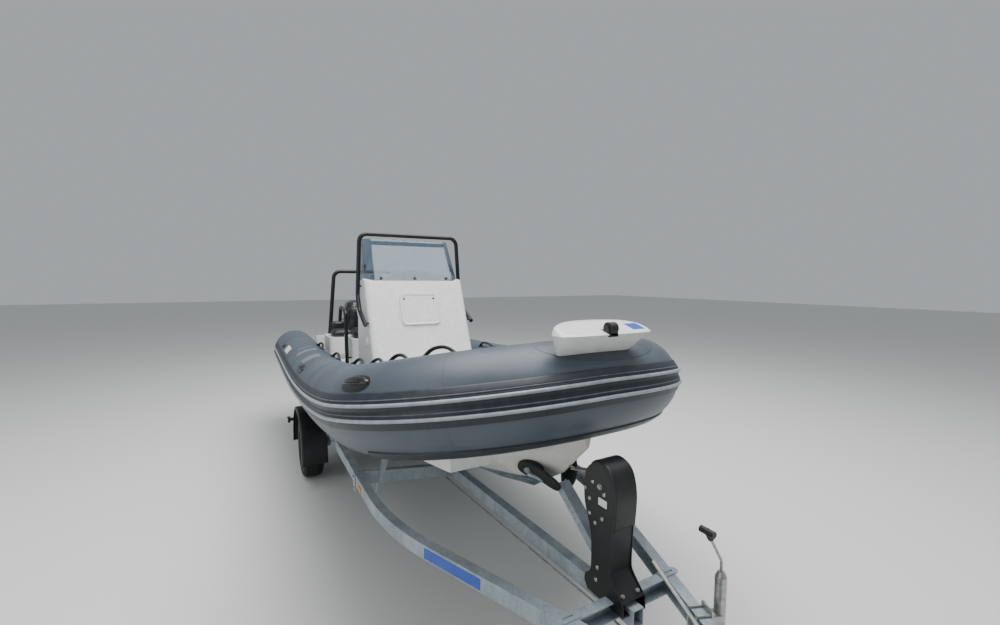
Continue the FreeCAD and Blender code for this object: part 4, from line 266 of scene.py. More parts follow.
zinc = patterned("zinc_plated_steel", "#a9aaa6", 0.85, 0.3, 45.0, 3.0, ((0.3, "#8f908c"), (0.7, "#b9bab6")),
                 (0.24, 0.42))
NUT = [(0, -0.002), (0.0095, -0.002), (0.0095, 0.0065), (0.008, 0.008), (0.005, 0.008), (0.005, 0.014), (0, 0.014)]
DOME = [(0, -0.001), (0.0105, -0.001), (0.0105, 0.001), (0.009, 0.0042), (0.0055, 0.0066), (0, 0.0074)]
CROSS_X, CROSS_HALF = (0.200, -0.620, -2.350), 0.025      # the crossmembers' rear faces and half their depth
CLAMP_FACE, CLAMP_TOP = 0.7725, 0.556
PAIR = (-1, 1)
clamp_nuts = [(x + CROSS_HALF, side * CLAMP_FACE, z) for x in CROSS_X for side in PAIR for z in (0.448, 0.532)]
studs("clamp_nuts", clamp_nuts, [(0, np.sign(p[1]), 0) for p in clamp_nuts], NUT, 6, zinc)
cap_nuts = [(x + CROSS_HALF, side * y, CLAMP_TOP) for x in CROSS_X for side in PAIR for y in (0.705, 0.740)]
studs("clamp_cap_nuts", cap_nuts, (0, 0, 1), NUT, 6, zinc)
cross_bolts = [(x - 0.0005, side * 0.675, z) for x in CROSS_X for side in PAIR for z in (0.530, 0.490)]
studs("crossmember_bolts", cross_bolts, (-1, 0, 0), DOME, 14, zinc)


# Tyres: a 185 mm road tyre on each wheel, moulded in black rubber with three ribs and shoulder blocks.
# The section is one closed profile turned about the axle; grooves are pressed into the tread.

WHEEL_X, WHEEL_Y, TYRE_R = -1.260, 0.883, 0.2945


def skin(name, grid, material, wrap=(False, False), body="root", sharp=35.0, facing=None):
    """Mesh over a grid of points (rows, columns, xyz). wrap joins the last row or column to the first."""
    rows, columns = grid.shape[:2]
    index = np.arange(rows * columns).reshape(rows, columns)
    index = np.vstack([index, index[:1]]) if wrap[0] else index
    index = np.hstack([index, index[:, :1]]) if wrap[1] else index
    quads = np.stack([index[:-1, :-1], index[1:, :-1], index[1:, 1:], index[:-1, 1:]], axis=-1).reshape(-1, 4)
    return form(name, grid, quads.tolist(), material, body, sharp, facing)


def spun(centre, profile, steps, side=1.0):
    """Profile of (y from the middle, radius) turned about an axle across the boat: a circle of that
    radius at each y. Rows go round, columns follow the profile."""
    turn = np.linspace(0, 2 * np.pi, steps, endpoint=False)[:, None]
    y, r = np.asarray(profile, float).T
    return np.stack([centre[0] + r * np.sin(turn), centre[1] + side * y + 0 * turn,
                     centre[2] + r * np.cos(turn)], axis=-1)


def curve(points, count):
    """Smooth line through control points: each length is a cubic between neighbours (Catmull-Rom)."""
    p = np.asarray(points, float)
    p = np.vstack([2 * p[0] - p[1], p, 2 * p[-1] - p[-2]])
    t = np.linspace(0, len(points) - 1, count)
    k = np.minimum(t.astype(int), len(points) - 2)
    u = (t - k)[:, None]
    a, b, c, d = p[k], p[k + 1], p[k + 2], p[k + 3]
    return 0.5 * (2 * b + (c - a) * u + (2 * a - 5 * b + 4 * c - d) * u ** 2 + (3 * b - a - 3 * c + d) * u ** 3)


tread_rubber = patterned("tyre_rubber", "#18191a", 0.0, 0.72, 14.0, 6.0, ((0.35, "#121314"), (0.8, "#2d2d2c")),
                         bump=(0.0006, 0.4))

BEAD_R = 0.168
sidewall = curve([(-0.062, BEAD_R + 0.001), (-0.076, BEAD_R + 0.02), (-0.0915, BEAD_R + 0.062),
                  (-0.088, TYRE_R - 0.03), (-0.072, TYRE_R - 0.007)], 22)
CROWN_HALF = 0.068
ribs = np.linspace(-CROWN_HALF, CROWN_HALF, 69)
crown = np.stack([ribs, TYRE_R - 0.004 * (ribs / CROWN_HALF) ** 2], axis=1)
inner = curve([(0.058, BEAD_R + 0.001), (0.0, BEAD_R + 0.012), (-0.058, BEAD_R + 0.001)], 9)
section = np.vstack([sidewall, crown, sidewall[::-1] * (-1, 1), inner])
GROOVE = 0.007                  # depth of the tread
GROOVES_AT, GROOVE_HALF = (-0.045, -0.015, 0.015, 0.045), 0.0032
BLOCKS = 72                     # shoulder blocks round the tyre
y = section[:, 0]
turn = np.linspace(0, 2 * np.pi, 4 * BLOCKS, endpoint=False)[:, None]
channel = np.maximum.reduce([np.exp(-((y - g) / GROOVE_HALF) ** 4) for g in GROOVES_AT])
cut = (np.cos(BLOCKS * turn + 30 * np.abs(y)) > 0.72) * (np.abs(y) > 0.049) * (np.abs(y) < 0.086)
depth = GROOVE * np.clip(channel + cut, 0, 1) * (section[:, 1] > TYRE_R - 0.03)
for name, side in (("tyre_starboard", -1), ("tyre_port", 1)):
    grid = spun((WHEEL_X, side * WHEEL_Y, TYRE_R), section, 4 * BLOCKS, side)
    grid[..., 0] -= depth * np.sin(turn)
    grid[..., 2] -= depth * np.cos(turn)
    tyre = skin("road_" + name, grid, tread_rubber, (True, True), "wheel_" + name[5:], 28.0)
    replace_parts(tyre, name)

lacquer = patterned("silver_lacquered_steel", "#a6a9ac", 0.7, 0.36, 20.0, 4.0, ((0.3, "#8b8e91"), (0.75, "#b3b6b9")))
coat(lacquer, "rim_starboard", "rim_port")


# Mudguards: injection moulded black plastic arches with a flattened top, a rolled inner edge and a
# turned-down outer lip. The fine grain of the mould and a film of road dust take off the gloss.

grained = patterned("grained_black_plastic", "#131415", 0.0, 0.42, 9.0, 6.0, ((0.35, "#0e0f10"), (0.75, "#202224")),
                    bump=(0.0005, 0.5), grain=(700.0, 1.0))
coat(grained, "crank_grip", "dash_panel")


def walled(piece, thick):
    """Gives an open sheet an even wall on its inner side."""
    wall = piece.modifiers.new("wall", "SOLIDIFY")
    wall.thickness, wall.offset, wall.use_even_offset = thick, -1.0, True


GUARD_R, GUARD_WALL, GUARD_LIP = 0.4035, 0.004, 0.026
GUARD_INNER, GUARD_OUTER = 0.781, 1.007
FLAT = math.radians(16)         # half the angle that the flattened top takes up
turn = np.radians(np.linspace(-8, 188, 99))                     # from low in front, over the top, to low behind
flat_top = GUARD_R * math.cos(FLAT) / np.maximum(np.sin(turn), 0.05)
arch = (GUARD_R ** -24.0 + flat_top ** -24.0) ** (-1 / 24)      # soft minimum of the round and the flat top
bend = np.radians(np.linspace(90, 0, 9))
GUARD_CORNER = 0.016
corner = [GUARD_OUTER - GUARD_CORNER, -GUARD_CORNER] + GUARD_CORNER * np.stack([np.cos(bend), np.sin(bend)], axis=1)
across = np.vstack([[(GUARD_INNER, -0.009), (GUARD_INNER + 0.002, -0.003), (GUARD_INNER + 0.008, 0.0)],
                    [(y, 0.0) for y in np.linspace(GUARD_INNER + 0.02, GUARD_OUTER - 0.02, 12)], corner,
                    [(GUARD_OUTER, -GUARD_LIP), (GUARD_OUTER - 0.003, -GUARD_LIP - 0.003)]])
for name, side in (("mudguard_starboard", -1), ("mudguard_port", 1)):
    radius = arch[:, None] + across[None, :, 1]
    grid = np.stack([WHEEL_X + radius * np.cos(turn)[:, None], side * across[None, :, 0] + 0 * radius,
                     TYRE_R + radius * np.sin(turn)[:, None]], axis=-1)
    guard = skin(name, grid, grained, facing=(0, 0, 1), sharp=60.0)
    walled(guard, GUARD_WALL)
    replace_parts(guard, "mudguards")


# Lamps: black moulded housings with prismatic acrylic lenses welded on: red and amber at the tail, red and
# clear on the mudguard markers. The light that the ridges inside the lenses catch is painted on as paler fine lines.

coat(grained, "lamps")
LENS_RIDGE = 0.006
TAIL_X, MARKER_Y = -2.6715, 1.0605      # the housings' rear and outer faces
# each lens: its colour, the paler colour of its ridges (a painted highlight), from and to y on the tail lamp, from and
# to x on the marker
LENSES = {"red": ("#8d0f0c", "#b01c16", (0.712, 0.846), (-1.632, -1.604)),
          "amber": ("#c87410", "#e39a3a", (0.645, 0.709), None),
          "clear": ("#c9cdd0", "#e4e7e9", None, (-1.601, -1.571))}
for lens_name, (colour, pale, tail, marker) in LENSES.items():
    lens, shader, place = finish(lens_name + "_lamp_lens", colour, 0.0, 0.12, Coat_Weight=0.5)
    # the paler bands on the ridges, in the base colour, are a painted highlight
    ridges = add(lens, "TexWave", {"Vector": place, "Scale": 1 / LENS_RIDGE / 6.3}, bands_direction="Z").outputs[1]
    link(lens, shade(lens, ridges, ((0.2, colour), (0.8, pale))), shader, "Base Color")
    relief(lens, shader, ridges, 0.0008, 0.5)
    for name, side in SIDES:
        if tail:
            slab(f"tail_lens_{lens_name}_{name}", oblong((side * tail[0], 0.468), (side * tail[1], 0.548), 0.006),
                 ((TAIL_X, 0, 0), (0, 1, 0), (0, 0, 1)), -0.009, lens, 0.002)
        if marker:
            slab(f"marker_lens_{lens_name}_{name}", oblong((marker[0], 0.4625), (marker[1], 0.5035), 0.004),
                 ((0, side * MARKER_Y, 0), (1, 0, 0), (0, 0, 1)), -side * 0.007, lens, 0.0015)


# Bright fittings: drawtube and coupling, brake rod and lever, jockey tubes and fork, hubs.
# Turned or pressed steel with the same thin bright zinc plate as the nuts. The bellows and the jockey wheel's
# tyre are moulded black rubber.

coat(zinc, "coupling_head", "brake_linkage", "jockey_clamp", "jockey_tube", "jockey_inner", "jockey_fork",
     "hub_starboard", "hub_port")
coat(rubber, "draw_bellows", "jockey_wheel")


# Winch strap: woven polyester webbing, wound on the drum and drawn out to the bow eye. The ribs of its weave
# and years of weather leave it dull and grey.

webbing, shader, place = finish("woven_polyester_webbing", "#8f8d86", 0.0, 0.9)
weave = add(webbing, "TexWave", {"Vector": place, "Scale": 180.0, "Distortion": 1.0}, bands_direction="Y").outputs[1]
link(webbing, shade(webbing, weave, ((0.2, "#6f6e69"), (0.8, "#a3a19a"))), shader, "Base Color")
relief(webbing, shader, weave, 0.0008)
coat(webbing, "winch_strap")


# Hull: glass fibre laminate with warm white gelcoat out of a polished mould. Below the waterline the colour
# turns to combed blue-grey strokes, dark with paler streaks; above it the gelcoat is clean and a little chalky.

hull_coat, shader, place = finish("weathered_white_gelcoat", "#d9d9d5", 0.0, 0.32, Coat_Weight=0.15)
axes = add(hull_coat, "SeparateXYZ", {0: place}).outputs
# the waterline stands 0.80 m up as far as x = 1.1 m and climbs to 0.865 m at x = 1.45 m
waterline = add(hull_coat, "MapRange", {0: axes["X"], 1: 1.1, 2: 1.45, 3: 0.80, 4: 0.865}).outputs[0]
ragged = add(hull_coat, "TexNoise", {"Vector": place, "Scale": 22.0, "Detail": 6.0}).outputs[0]
depth = add(hull_coat, "Math", {0: waterline, 1: axes["Z"]}, operation="SUBTRACT").outputs[0]
depth = add(hull_coat, "Math", {0: ragged, 1: 0.03, 2: depth}, operation="MULTIPLY_ADD").outputs[0]
below_waterline = add(hull_coat, "MapRange", {0: depth, 1: 0.005, 2: 0.022}).outputs[0]
combed = add(hull_coat, "Mapping", {"Vector": place, "Rotation": (0.5, 0.0, 0.35),
                                    "Scale": (9.0, 9.0, 34.0)}).outputs[0]
strokes = add(hull_coat, "TexNoise", {"Vector": combed, "Scale": 1.6, "Detail": 7.0, "Roughness": 0.62,
                                      "Distortion": 0.8}).outputs[0]
# below the waterline: dark blue-grey strokes with paler streaks, much darker than the white above
bottom_streaks = shade(hull_coat, strokes, ((0.36, "#33424b"), (0.50, "#51646d"), (0.60, "#95a8af")))
chalk = shade(hull_coat, ragged, ((0.3, "#d3d0ca"), (0.7, "#dfdcd6")))
painted = add(hull_coat, "Mix", {0: below_waterline, 6: chalk, 7: bottom_streaks}, data_type="RGBA").outputs[2]
link(hull_coat, painted, shader, "Base Color")
link(hull_coat, span(hull_coat, below_waterline, 0.3, 0.5), shader, "Roughness")
coat(hull_coat, "hull")


# Deck, console, hatch, seats and locker: laid up in polished moulds with white gelcoat, clean and glossy, and
# bonded or screwed together. A faint orange peel bends the reflections.

gelcoat = patterned("white_gelcoat", "#e6e6e4", 0.0, 0.24, 26.0, 3.0, ((0.3, "#dededc"), (0.7, "#ececea")),
                    bump=(0.001, 0.08), Coat_Weight=0.25, Coat_Roughness=0.06)
coat(gelcoat, "deck", "console", "console_hatch", "seat_bases", "bow_locker", "bow_locker_lid")


# Collar: one inflated tube of polyester fabric coated in slate grey synthetic rubber, from a cone at one
# stern end round the bow to the other. Hard with air, so it is smooth and round, with a satin skin.

COLLAR_R, COLLAR_HALF = 0.237, 0.841
BEND_X, NOSE_X, STERN_X = 0.920, 1.762, -3.080
BOW_POWER = 2 / 2.31
CONE_LENGTH, CONE_TIP = 0.370, 0.070


def axis_height(x):
    """Height of the tube's axis: level, then rising with the 2.1th power of the way to the nose."""
    return 1.018 + 0.401 * np.clip((x + 1.4) / 3.162, 0, None) ** 2.1


def collar_axis():
    """Axis from the starboard stern round the bow to port: straight, then a superellipse in plan where
    x grows with sin(a)^0.87 and y shrinks with cos(a)^0.87."""
    straight = np.linspace(STERN_X, BEND_X, 400, endpoint=False)
    a = np.linspace(0, np.pi / 2, 1200)
    x = np.concatenate([straight, BEND_X + (NOSE_X - BEND_X) * np.sin(a) ** BOW_POWER])
    y = np.concatenate([0 * straight + COLLAR_HALF, COLLAR_HALF * np.abs(np.cos(a)) ** BOW_POWER])
    x, y = np.concatenate([x, x[-2::-1]]), np.concatenate([-y, y[-2::-1]])
    return np.stack([x, y, axis_height(x)], axis=1)


def lengths(line):
    """Distance along a line to each of its points."""
    return np.concatenate([[0], np.cumsum(np.linalg.norm(np.diff(line, axis=0), axis=1))])


def sampled(line, distance_to, at):
    """Values of a line's points at other distances, straight between neighbours."""
    return np.stack([np.interp(at, distance_to, line[:, k]) for k in range(3)], axis=-1)


def evenly(line, count):
    """The same line with points evenly spaced by length."""
    length = lengths(line)
    return sampled(line, length, np.linspace(0, length[-1], count))


def unit(v):
    return v / np.linalg.norm(v, axis=-1, keepdims=True)


def collar_frame(line):
    """Direction along the tube, level direction out of the boat, and the one square to both, upwards."""
    run = unit(np.gradient(line, axis=0))
    out = unit(np.stack([run[:, 1], -run[:, 0], 0 * run[:, 0]], axis=1))
    return run, out, np.cross(out, run)


def on_collar(line, radius, angle):
    """Points round the axis: radius times (cos angle outwards, sin angle upwards); angles in degrees."""
    run, out, up = collar_frame(line)
    a = np.radians(angle)
    radius = np.asarray(radius)
    outwards, upwards = (radius * np.cos(a))[..., None] * out[:, None], (radius * np.sin(a))[..., None] * up[:, None]
    return line[:, None] + outwards + upwards


THREAD = 0.0025                 # base cloth's threads: 0.5 mm in the real fabric, drawn coarser so that they show
fabric, shader, place = finish("coated_collar_fabric", "#454d57", 0.0, 0.42)
wear = add(fabric, "TexNoise", {"Vector": place, "Scale": 3.0, "Detail": 7.0}).outputs[0]
link(fabric, shade(fabric, wear, ((0.3, "#3d4650"), (0.7, "#4f5862"))), shader, "Base Color")
link(fabric, span(fabric, wear, 0.36, 0.54), shader, "Roughness")
cloth = add(fabric, "TexNoise", {"Vector": place, "Scale": 1 / THREAD}).outputs[0]
swell = add(fabric, "TexNoise", {"Vector": place, "Scale": 2.2, "Detail": 2.0}).outputs[0]
skin_height = add(fabric, "Math", {0: cloth, 1: 0.06, 2: swell}, operation="MULTIPLY_ADD").outputs[0]
relief(fabric, shader, skin_height, 0.006, 0.35)

AXIS = evenly(collar_axis(), 420)
ring = np.linspace(0, 360, 96, endpoint=False)
tube = on_collar(AXIS, np.full((len(AXIS), 96), COLLAR_R), ring[None, :])
# the cone, then a round tip down to a point: distance behind the tube's end, and radius
tip = np.radians(np.linspace(10, 90, 9))
reach = np.concatenate([np.linspace(0.015, CONE_LENGTH, 24), CONE_LENGTH + 0.028 * np.sin(tip)])
radii = np.concatenate([np.linspace(COLLAR_R - 0.003, CONE_TIP, 24), CONE_TIP * np.cos(tip)])
ends = []
for stern, way in ((AXIS[0], -1), (AXIS[-1], 1)):
    a = np.radians(ring)[:, None]
    circle = np.cos(a) * (0, way, 0) + np.sin(a) * (0, 0, 1)
    ends.append((stern - np.outer(reach, (1, 0, 0)))[:, None] + radii[:, None, None] * circle)
collar = skin("collar_tube", np.concatenate([ends[0][::-1], tube, ends[1]]), fabric, (False, True), sharp=80.0)
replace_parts(collar, "collar")


# Fittings glued to the tube's skin: an oval doubling patch under the bow step, black moulded carrying
# handles with a hooded grip, grey anti-slip strips, blank white vinyl labels and black inflation valves.

AXIS_OUT, AXIS_UP = collar_frame(AXIS)[1:]
AXIS_AT = lengths(AXIS) - lengths(AXIS)[-1] / 2        # distance from the bow's middle


def on_skin(distance, angle, height):
    """Points over the tube: distance round the bow from its middle, starboard negative; degrees above the
    outer side; height over the fabric."""
    distance, angle, height = np.broadcast_arrays(distance, angle, height)
    centre, out, up = (sampled(v, AXIS_AT, distance) for v in (AXIS, AXIS_OUT, AXIS_UP))
    a = np.radians(angle)[..., None]
    return centre + (COLLAR_R + height)[..., None] * (np.cos(a) * out + np.sin(a) * up)


def patch(name, material, middle, half, thick, power=1.0, count=80, swell=None):
    """Sheet on the tube inside a superellipse, k cos t and k sin t raised to a power, from its middle to its
    edge, with a thickness that ends in a rounded edge. swell adds a height at each place of it."""
    t = np.linspace(0, 2 * np.pi, count, endpoint=False)[None, :]
    k = np.concatenate([np.linspace(0, 0.97, 26), [0.99, 1.0, 1.0]])[:, None]
    u, v = (k * np.sign(f) * np.abs(f) ** power for f in (np.cos(t), np.sin(t)))
    height = np.full_like(u, thick)
    height[-2], height[-1] = thick * 0.7, -0.002
    height = height + (swell(u, v) if swell else 0)
    places = on_skin(middle[0] + half[0] * u, middle[1] + half[1] * v, height)
    return skin(name, places, material, (False, True), sharp=50.0)


def hood(u, v):
    """Dome (1 - u^2 - v^2)^0.5 over the patch, cut away below its middle so that a hand gets under it."""
    lip = np.clip((v + 0.22) / 0.16, 0, 1)
    return 0.024 * np.sqrt(np.clip(1 - u ** 2 - (v / 0.93) ** 2, 0, 1)) * lip ** 2 * (3 - 2 * lip)


doubler = patterned("doubling_fabric", "#3f464e", 0.0, 0.5, 6.0, 7.0, ((0.3, "#3a4149"), (0.7, "#4a515a")),
                    bump=(0.0004, 0.4), grain=(1 / THREAD, 2.0))
gripped, shader, place = finish("anti_slip_rubber", "#6c7278", 0.0, 0.8)
pimples = add(gripped, "TexVoronoi", {"Vector": place, "Scale": 1 / 0.004}, feature="SMOOTH_F1").outputs[0]
link(gripped, shade(gripped, pimples, ((0.1, "#7d838a"), (0.6, "#5b6167"))), shader, "Base Color")
relief(gripped, shader, pimples, -0.0015)
moulded = patterned("glossy_moulded_rubber", "#0c0d0f", 0.0, 0.24, 40.0, 5.0, ((0.35, "#090a0c"), (0.8, "#17191c")),
                    (0.18, 0.38))
white_vinyl = patterned("white_vinyl_label", "#dfe0de", 0.0, 0.35, 20.0, 4.0, ((0.3, "#d2d4d2"), (0.75, "#e8e8e6")))

VALVE = [(0, -0.004), (0.031, -0.004), (0.031, 0.003), (0.026, 0.006), (0.021, 0.006), (0.020, 0.013), (0.016, 0.015),
         (0, 0.015)]
# of each handle: distance from the bow and half length; of each strip: distance, half width, from and to degrees
CARRY_HANDLES = ((1.022, 0.093), (2.887, 0.115))
STRIPS = ((3.75, 0.02, 58, 93), (3.545, 0.065, 50, 98), (3.07, 0.10, 50, 90))
VALVES_AT, VALVE_ANGLES = np.array([4.548, 2.10]), [39.0, 128.0]
patch("bow_doubler", doubler, (0.10, 78.0), (0.36, 37.0), 0.0016, 0.9, 128)
for name, side in SIDES:
    for number, (at, long) in enumerate(CARRY_HANDLES, 1):
        patch(f"carry_handle_base_{name}_{number}", moulded, (side * at, 40.2), (long * 1.12, 11.2), 0.003, 0.8)
        patch(f"carry_handle_{name}_{number}", moulded, (side * at, 40.6), (long, 8.8), 0.0045, 0.8, swell=hood)
    for number, (at, half, low, high) in enumerate(STRIPS, 1):
        middle = side * at, (low + high) / 2
        patch(f"anti_slip_{name}_{number}", gripped, middle, (half, (high - low) / 2), 0.002, 0.12)
    patch(f"tube_label_{name}", white_vinyl, (side * 4.20, 42.0), (0.14, 9.0), 0.0006, 0.1)
    valves, inside = (on_skin(side * VALVES_AT, VALVE_ANGLES, height) for height in (0.0, -0.1))
    studs(f"valves_{name}", valves, valves - inside, VALVE, 28, moulded)


# Seam tapes: the tube is built from panels with a glued lap and a narrow tape round it at each bulkhead
# and at the cones.

SEAM_HALF, SEAM_RISE = 0.0125, 0.0009
SEAMS_AT = (-4.72, -3.42, -2.25, -0.62, 0.62, 2.25, 3.42, 4.72)      # distance from the bow's middle
for number, at in enumerate(SEAMS_AT, 1):
    across = at + SEAM_HALF * np.array([-1.06, -1.0, -0.5, 0.0, 0.5, 1.0, 1.06])[:, None]
    rise = np.array([-0.001] + [SEAM_RISE] * 5 + [-0.001])[:, None]
    round_tube = np.linspace(0, 360, 120, endpoint=False)[None, :]
    skin(f"seam_tape_{number}", on_skin(across, round_tube, rise), fabric, (False, True), sharp=60.0)


# Rubbing strakes: an extruded black rubber band glued round the tube's outer side, with two grey
# half-round beads and a thin lip above each, coloured slate grey as a painted highlight, and a narrow strip under the
# bow.

ROLL = 8.0                      # degrees by which the band climbs the tube from the side to the nose
WALL, BEAD = 0.0145, 0.011      # height of the band and of the beads over the tube and the band


def capped(grid):
    """Closes a tube of rings: one more at each end, drawn together to the middle of the last."""
    first, last = (np.repeat(grid[k].mean(axis=0)[None, None], grid.shape[1], axis=1) for k in (0, -1))
    return np.concatenate([first, grid, last])


def strake(name, material, profile, line, roll=ROLL):
    """Profile of (degrees above the side, height over the tube) carried along the axis. It climbs with
    the heading, from 0 along the side to the whole roll at the nose. Its ends are closed."""
    run = collar_frame(line)[0]
    heading = np.degrees(np.abs(np.arctan2(run[:, 1], np.abs(run[:, 0]))))
    angle, rise = np.asarray(profile, float).T
    climb = roll / 90 * heading[:, None]
    grid = on_collar(line, COLLAR_R + rise[None, :] + 0 * climb, angle[None, :] + climb)
    return skin(name, capped(grid), material, (False, True), sharp=50.0)


strake_rubber = patterned("black_strake_rubber", "#1a2028", 0.0, 0.42, 24.0, 6.0,
                          ((0.35, "#141a22"), (0.75, "#232b35")), (0.34, 0.6))
ridge_rubber = patterned("grey_bead_rubber", "#929aa1", 0.0, 0.28, 24.0, 6.0,
                         ((0.35, "#878f96"), (0.75, "#a0a8af")), (0.3, 0.5), Coat_Weight=0.2)
# the lips' slate grey, paler than the black band, is a painted highlight along the band's ledges
lip_highlight_rubber = patterned("lip_painted_highlight_rubber", "#565c63", 0.0, 0.5, 24.0, 6.0, ((0.35, "#4a5057"), (0.75, "#62686f")))

# the band's section: feathered edges, a low channel under each bead and between them
band = [(26, -0.002), (25.4, 0.004), (24, 0.007), (19, 0.010), (17.6, 0.012), (15, 0.012), (14.2, WALL),
        (8, WALL), (6.5, 0.009), (3, 0.009), (2, 0.012), (0.2, 0.012), (-0.8, WALL), (-7, WALL),
        (-9, 0.012), (-12, 0.009), (-15.2, 0.006), (-16, -0.002), (0, -0.004), (14, -0.004)]
round_line = AXIS[4:-4]
strakes = strake("strake_band", strake_rubber, band, round_line)
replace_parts(strakes, "strakes")
lobe = np.linspace(0, np.pi, 11)
for name, middle, climb in (("upper_bead", 11.0, ROLL), ("lower_bead", -4.0, ROLL - 2.0)):
    half_round = [(middle + 2.0 * math.cos(t), WALL - 0.001 + (BEAD + 0.001) * math.sin(t)) for t in lobe]
    lip = [(middle + 5.6 + 0.75 * math.cos(t), 0.010 + 0.005 * math.sin(t)) for t in lobe[::2]]
    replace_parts(strake(name, ridge_rubber, half_round, round_line, climb), "strake_ridges")
    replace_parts(strake(name + "_lip", lip_highlight_rubber, lip, round_line, climb), "strake_ridges")
bow = AXIS[AXIS[:, 0] > 1.25]
under = [(-47, -0.001), (-47.8, 0.007), (-51, 0.011), (-60, 0.014), (-73, 0.014), (-77, 0.009), (-78, -0.001),
         (-64, -0.004)]
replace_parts(strake("under_bow_strip", strake_rubber, under, bow, 0.0), "strakes")


# Winch post: two smooth steel plates with a web, folded out to a ramp, and a foot between them, clamped by
# bolts through spacer tubes. Black powder coat: satin, with a slight orange peel that breaks up highlights.

powder = patterned("black_powder_coated_steel", "#101113", 0.0, 0.36, 12.0, 6.0,
                   ((0.35, "#0c0d0f"), (0.8, "#1b1d20")), (0.28, 0.5), (0.0004, 0.4), grain=(340.0, 1.0))

PLATE_STARBOARD, PLATE_PORT, PLATE_WALL = -0.072, 0.0635, 0.005
beam_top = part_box("winch_post")[0][2]
post_edge = curve([(1.946, beam_top + 0.004), (1.926, 0.545), (1.932, 0.582), (1.958, 0.606), (1.968, 0.640),
                   (1.966, 0.770), (1.944, 0.850), (1.918, 0.920), (1.911, 1.000), (1.921, 1.068), (1.954, 1.112),
                   (2.008, 1.130), (2.058, 1.112), (2.092, 1.066), (2.104, 1.000), (2.100, 0.930), (2.096, 0.860),
                   (2.092, 0.760), (2.090, 0.668), (2.110, 0.632), (2.150, 0.592), (2.174, 0.566)], 120)
post_edge = np.vstack([post_edge, [(2.176, beam_top), (1.948, beam_top)]])
for name, y in (("starboard", PLATE_STARBOARD + PLATE_WALL), ("port", PLATE_PORT)):
    plate = slab("post_plate_" + name, post_edge, ((0, y, 0), (1, 0, 0), (0, 0, 1)), PLATE_WALL, powder, 0.0012)
    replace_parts(plate, "winch_post")
inner_port = PLATE_PORT - PLATE_WALL + 0.0005
inner_width = PLATE_PORT - PLATE_STARBOARD - 2 * PLATE_WALL + 0.001


def folded(name, line, thick, material):
    """Strip bent along a line of (x, z), from plate to plate: the line and its inner side, offset by the
    thickness along its normal, closed into one section."""
    line = np.asarray(line, float)
    run = unit(np.gradient(line, axis=0))
    back = line + thick * np.stack([-run[:, 1], run[:, 0]], axis=1)
    section = np.vstack([line, back[::-1]])
    return slab(name, section, ((0, inner_port, 0), (1, 0, 0), (0, 0, 1)), inner_width, material, 0.001)


web = curve([(2.168, beam_top + 0.058), (2.120, 0.610), (2.091, 0.640), (2.082, 0.664), (2.088, 0.760),
             (2.092, 0.862)], 40)
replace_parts(folded("post_front_web", web, 0.006, powder), "winch_post")
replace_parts(folded("post_foot", [(1.950, beam_top), (2.174, beam_top)], 0.006, powder), "winch_post")
TIES = [(1.970, 1.035), (1.954, 0.881), (2.036, 0.889), (2.013, 0.651)]      # bolts with a spacer tube
PLATE_BOLTS = TIES + [(1.922, 0.990), (2.046, 1.003), (1.952, 0.950), (1.992, 0.851), (2.006, 0.589)]
POST_SIDES = (("starboard", -1, PLATE_STARBOARD, DOME, 14), ("port", 1, PLATE_PORT, NUT, 6))
for name, side, outside, head, sides in POST_SIDES:
    studs("post_bolts_" + name, [(x, outside, z) for x, z in PLATE_BOLTS], (0, side, 0), head, sides, zinc)
AXLE_END = [(0, -0.03), (0.014, -0.03), (0.014, 0.0025), (0.0125, 0.004), (0.0095, 0.004), (0.0095, 0.009), (0, 0.010)]
axle_ends = [(2.018, y, 1.030) for y in (PLATE_STARBOARD, PLATE_PORT)]
studs("drum_axle", axle_ends, [(0, -1, 0), (0, 1, 0)], AXLE_END, 18, zinc)
studs("post_spacers", [(x, inner_port - inner_width, z) for x, z in TIES], (0, 1, 0),
      [(0, 0), (0.008, 0), (0.008, inner_width), (0, inner_width)], 18, zinc)
studs("ramp_bolts", [(2.1475, y, 0.5885) for y in (-0.050, 0.038)], (1, 0, 1), NUT, 6, zinc)


# Winch cover: a moulded black plastic strip that wraps the winch's front and top, with its sides
# turned down over the plates. The mould's grain keeps it dull.

cover_line = curve([(1.952, 1.118), (1.975, 1.136), (2.008, 1.144), (2.048, 1.136), (2.082, 1.112), (2.104, 1.068),
                    (2.116, 1.000), (2.114, 0.930), (2.108, 0.862)], 60)
cover_run = unit(np.gradient(cover_line, axis=0))
cover_in = np.stack([cover_run[:, 1], -cover_run[:, 0]], axis=1)
bend = np.radians(np.linspace(0, 90, 7))
COVER_MIDDLE, COVER_HALF, COVER_CORNER, COVER_LIP = (PLATE_STARBOARD + PLATE_PORT) / 2, 0.0665, 0.009, 0.034
edge = [COVER_HALF - COVER_CORNER, COVER_CORNER] + COVER_CORNER * np.stack([np.sin(bend), -np.cos(bend)], axis=1)
half_section = np.vstack([[(0.0, 0.0), (0.03, 0.0), (0.055, 0.0)], edge, [(COVER_HALF, COVER_LIP)]])
side_y, depth = np.vstack([half_section[:0:-1] * (-1, 1), half_section]).T
at = cover_line[:, None] + cover_in[:, None] * depth[None, :, None]
grid = np.stack([at[..., 0], COVER_MIDDLE + side_y[None, :] + 0 * at[..., 0], at[..., 1]], axis=-1)
winch_cover = skin("winch_cover_moulding", grid, grained, facing=(1, 0, 1), sharp=50.0)
walled(winch_cover, 0.003)
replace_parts(winch_cover, "winch_cover")
slab("winch_label", oblong((0, 0), (0.054, 0.034), 0.003), ((2.010, PLATE_STARBOARD, 0.946), (1, 0, 0), (0, 0, 1)),
     VINYL, white_vinyl)


# Grab handles: arched bars of moulded black rubber along the tube's inner top, each with two flared feet
# glued to the fabric.

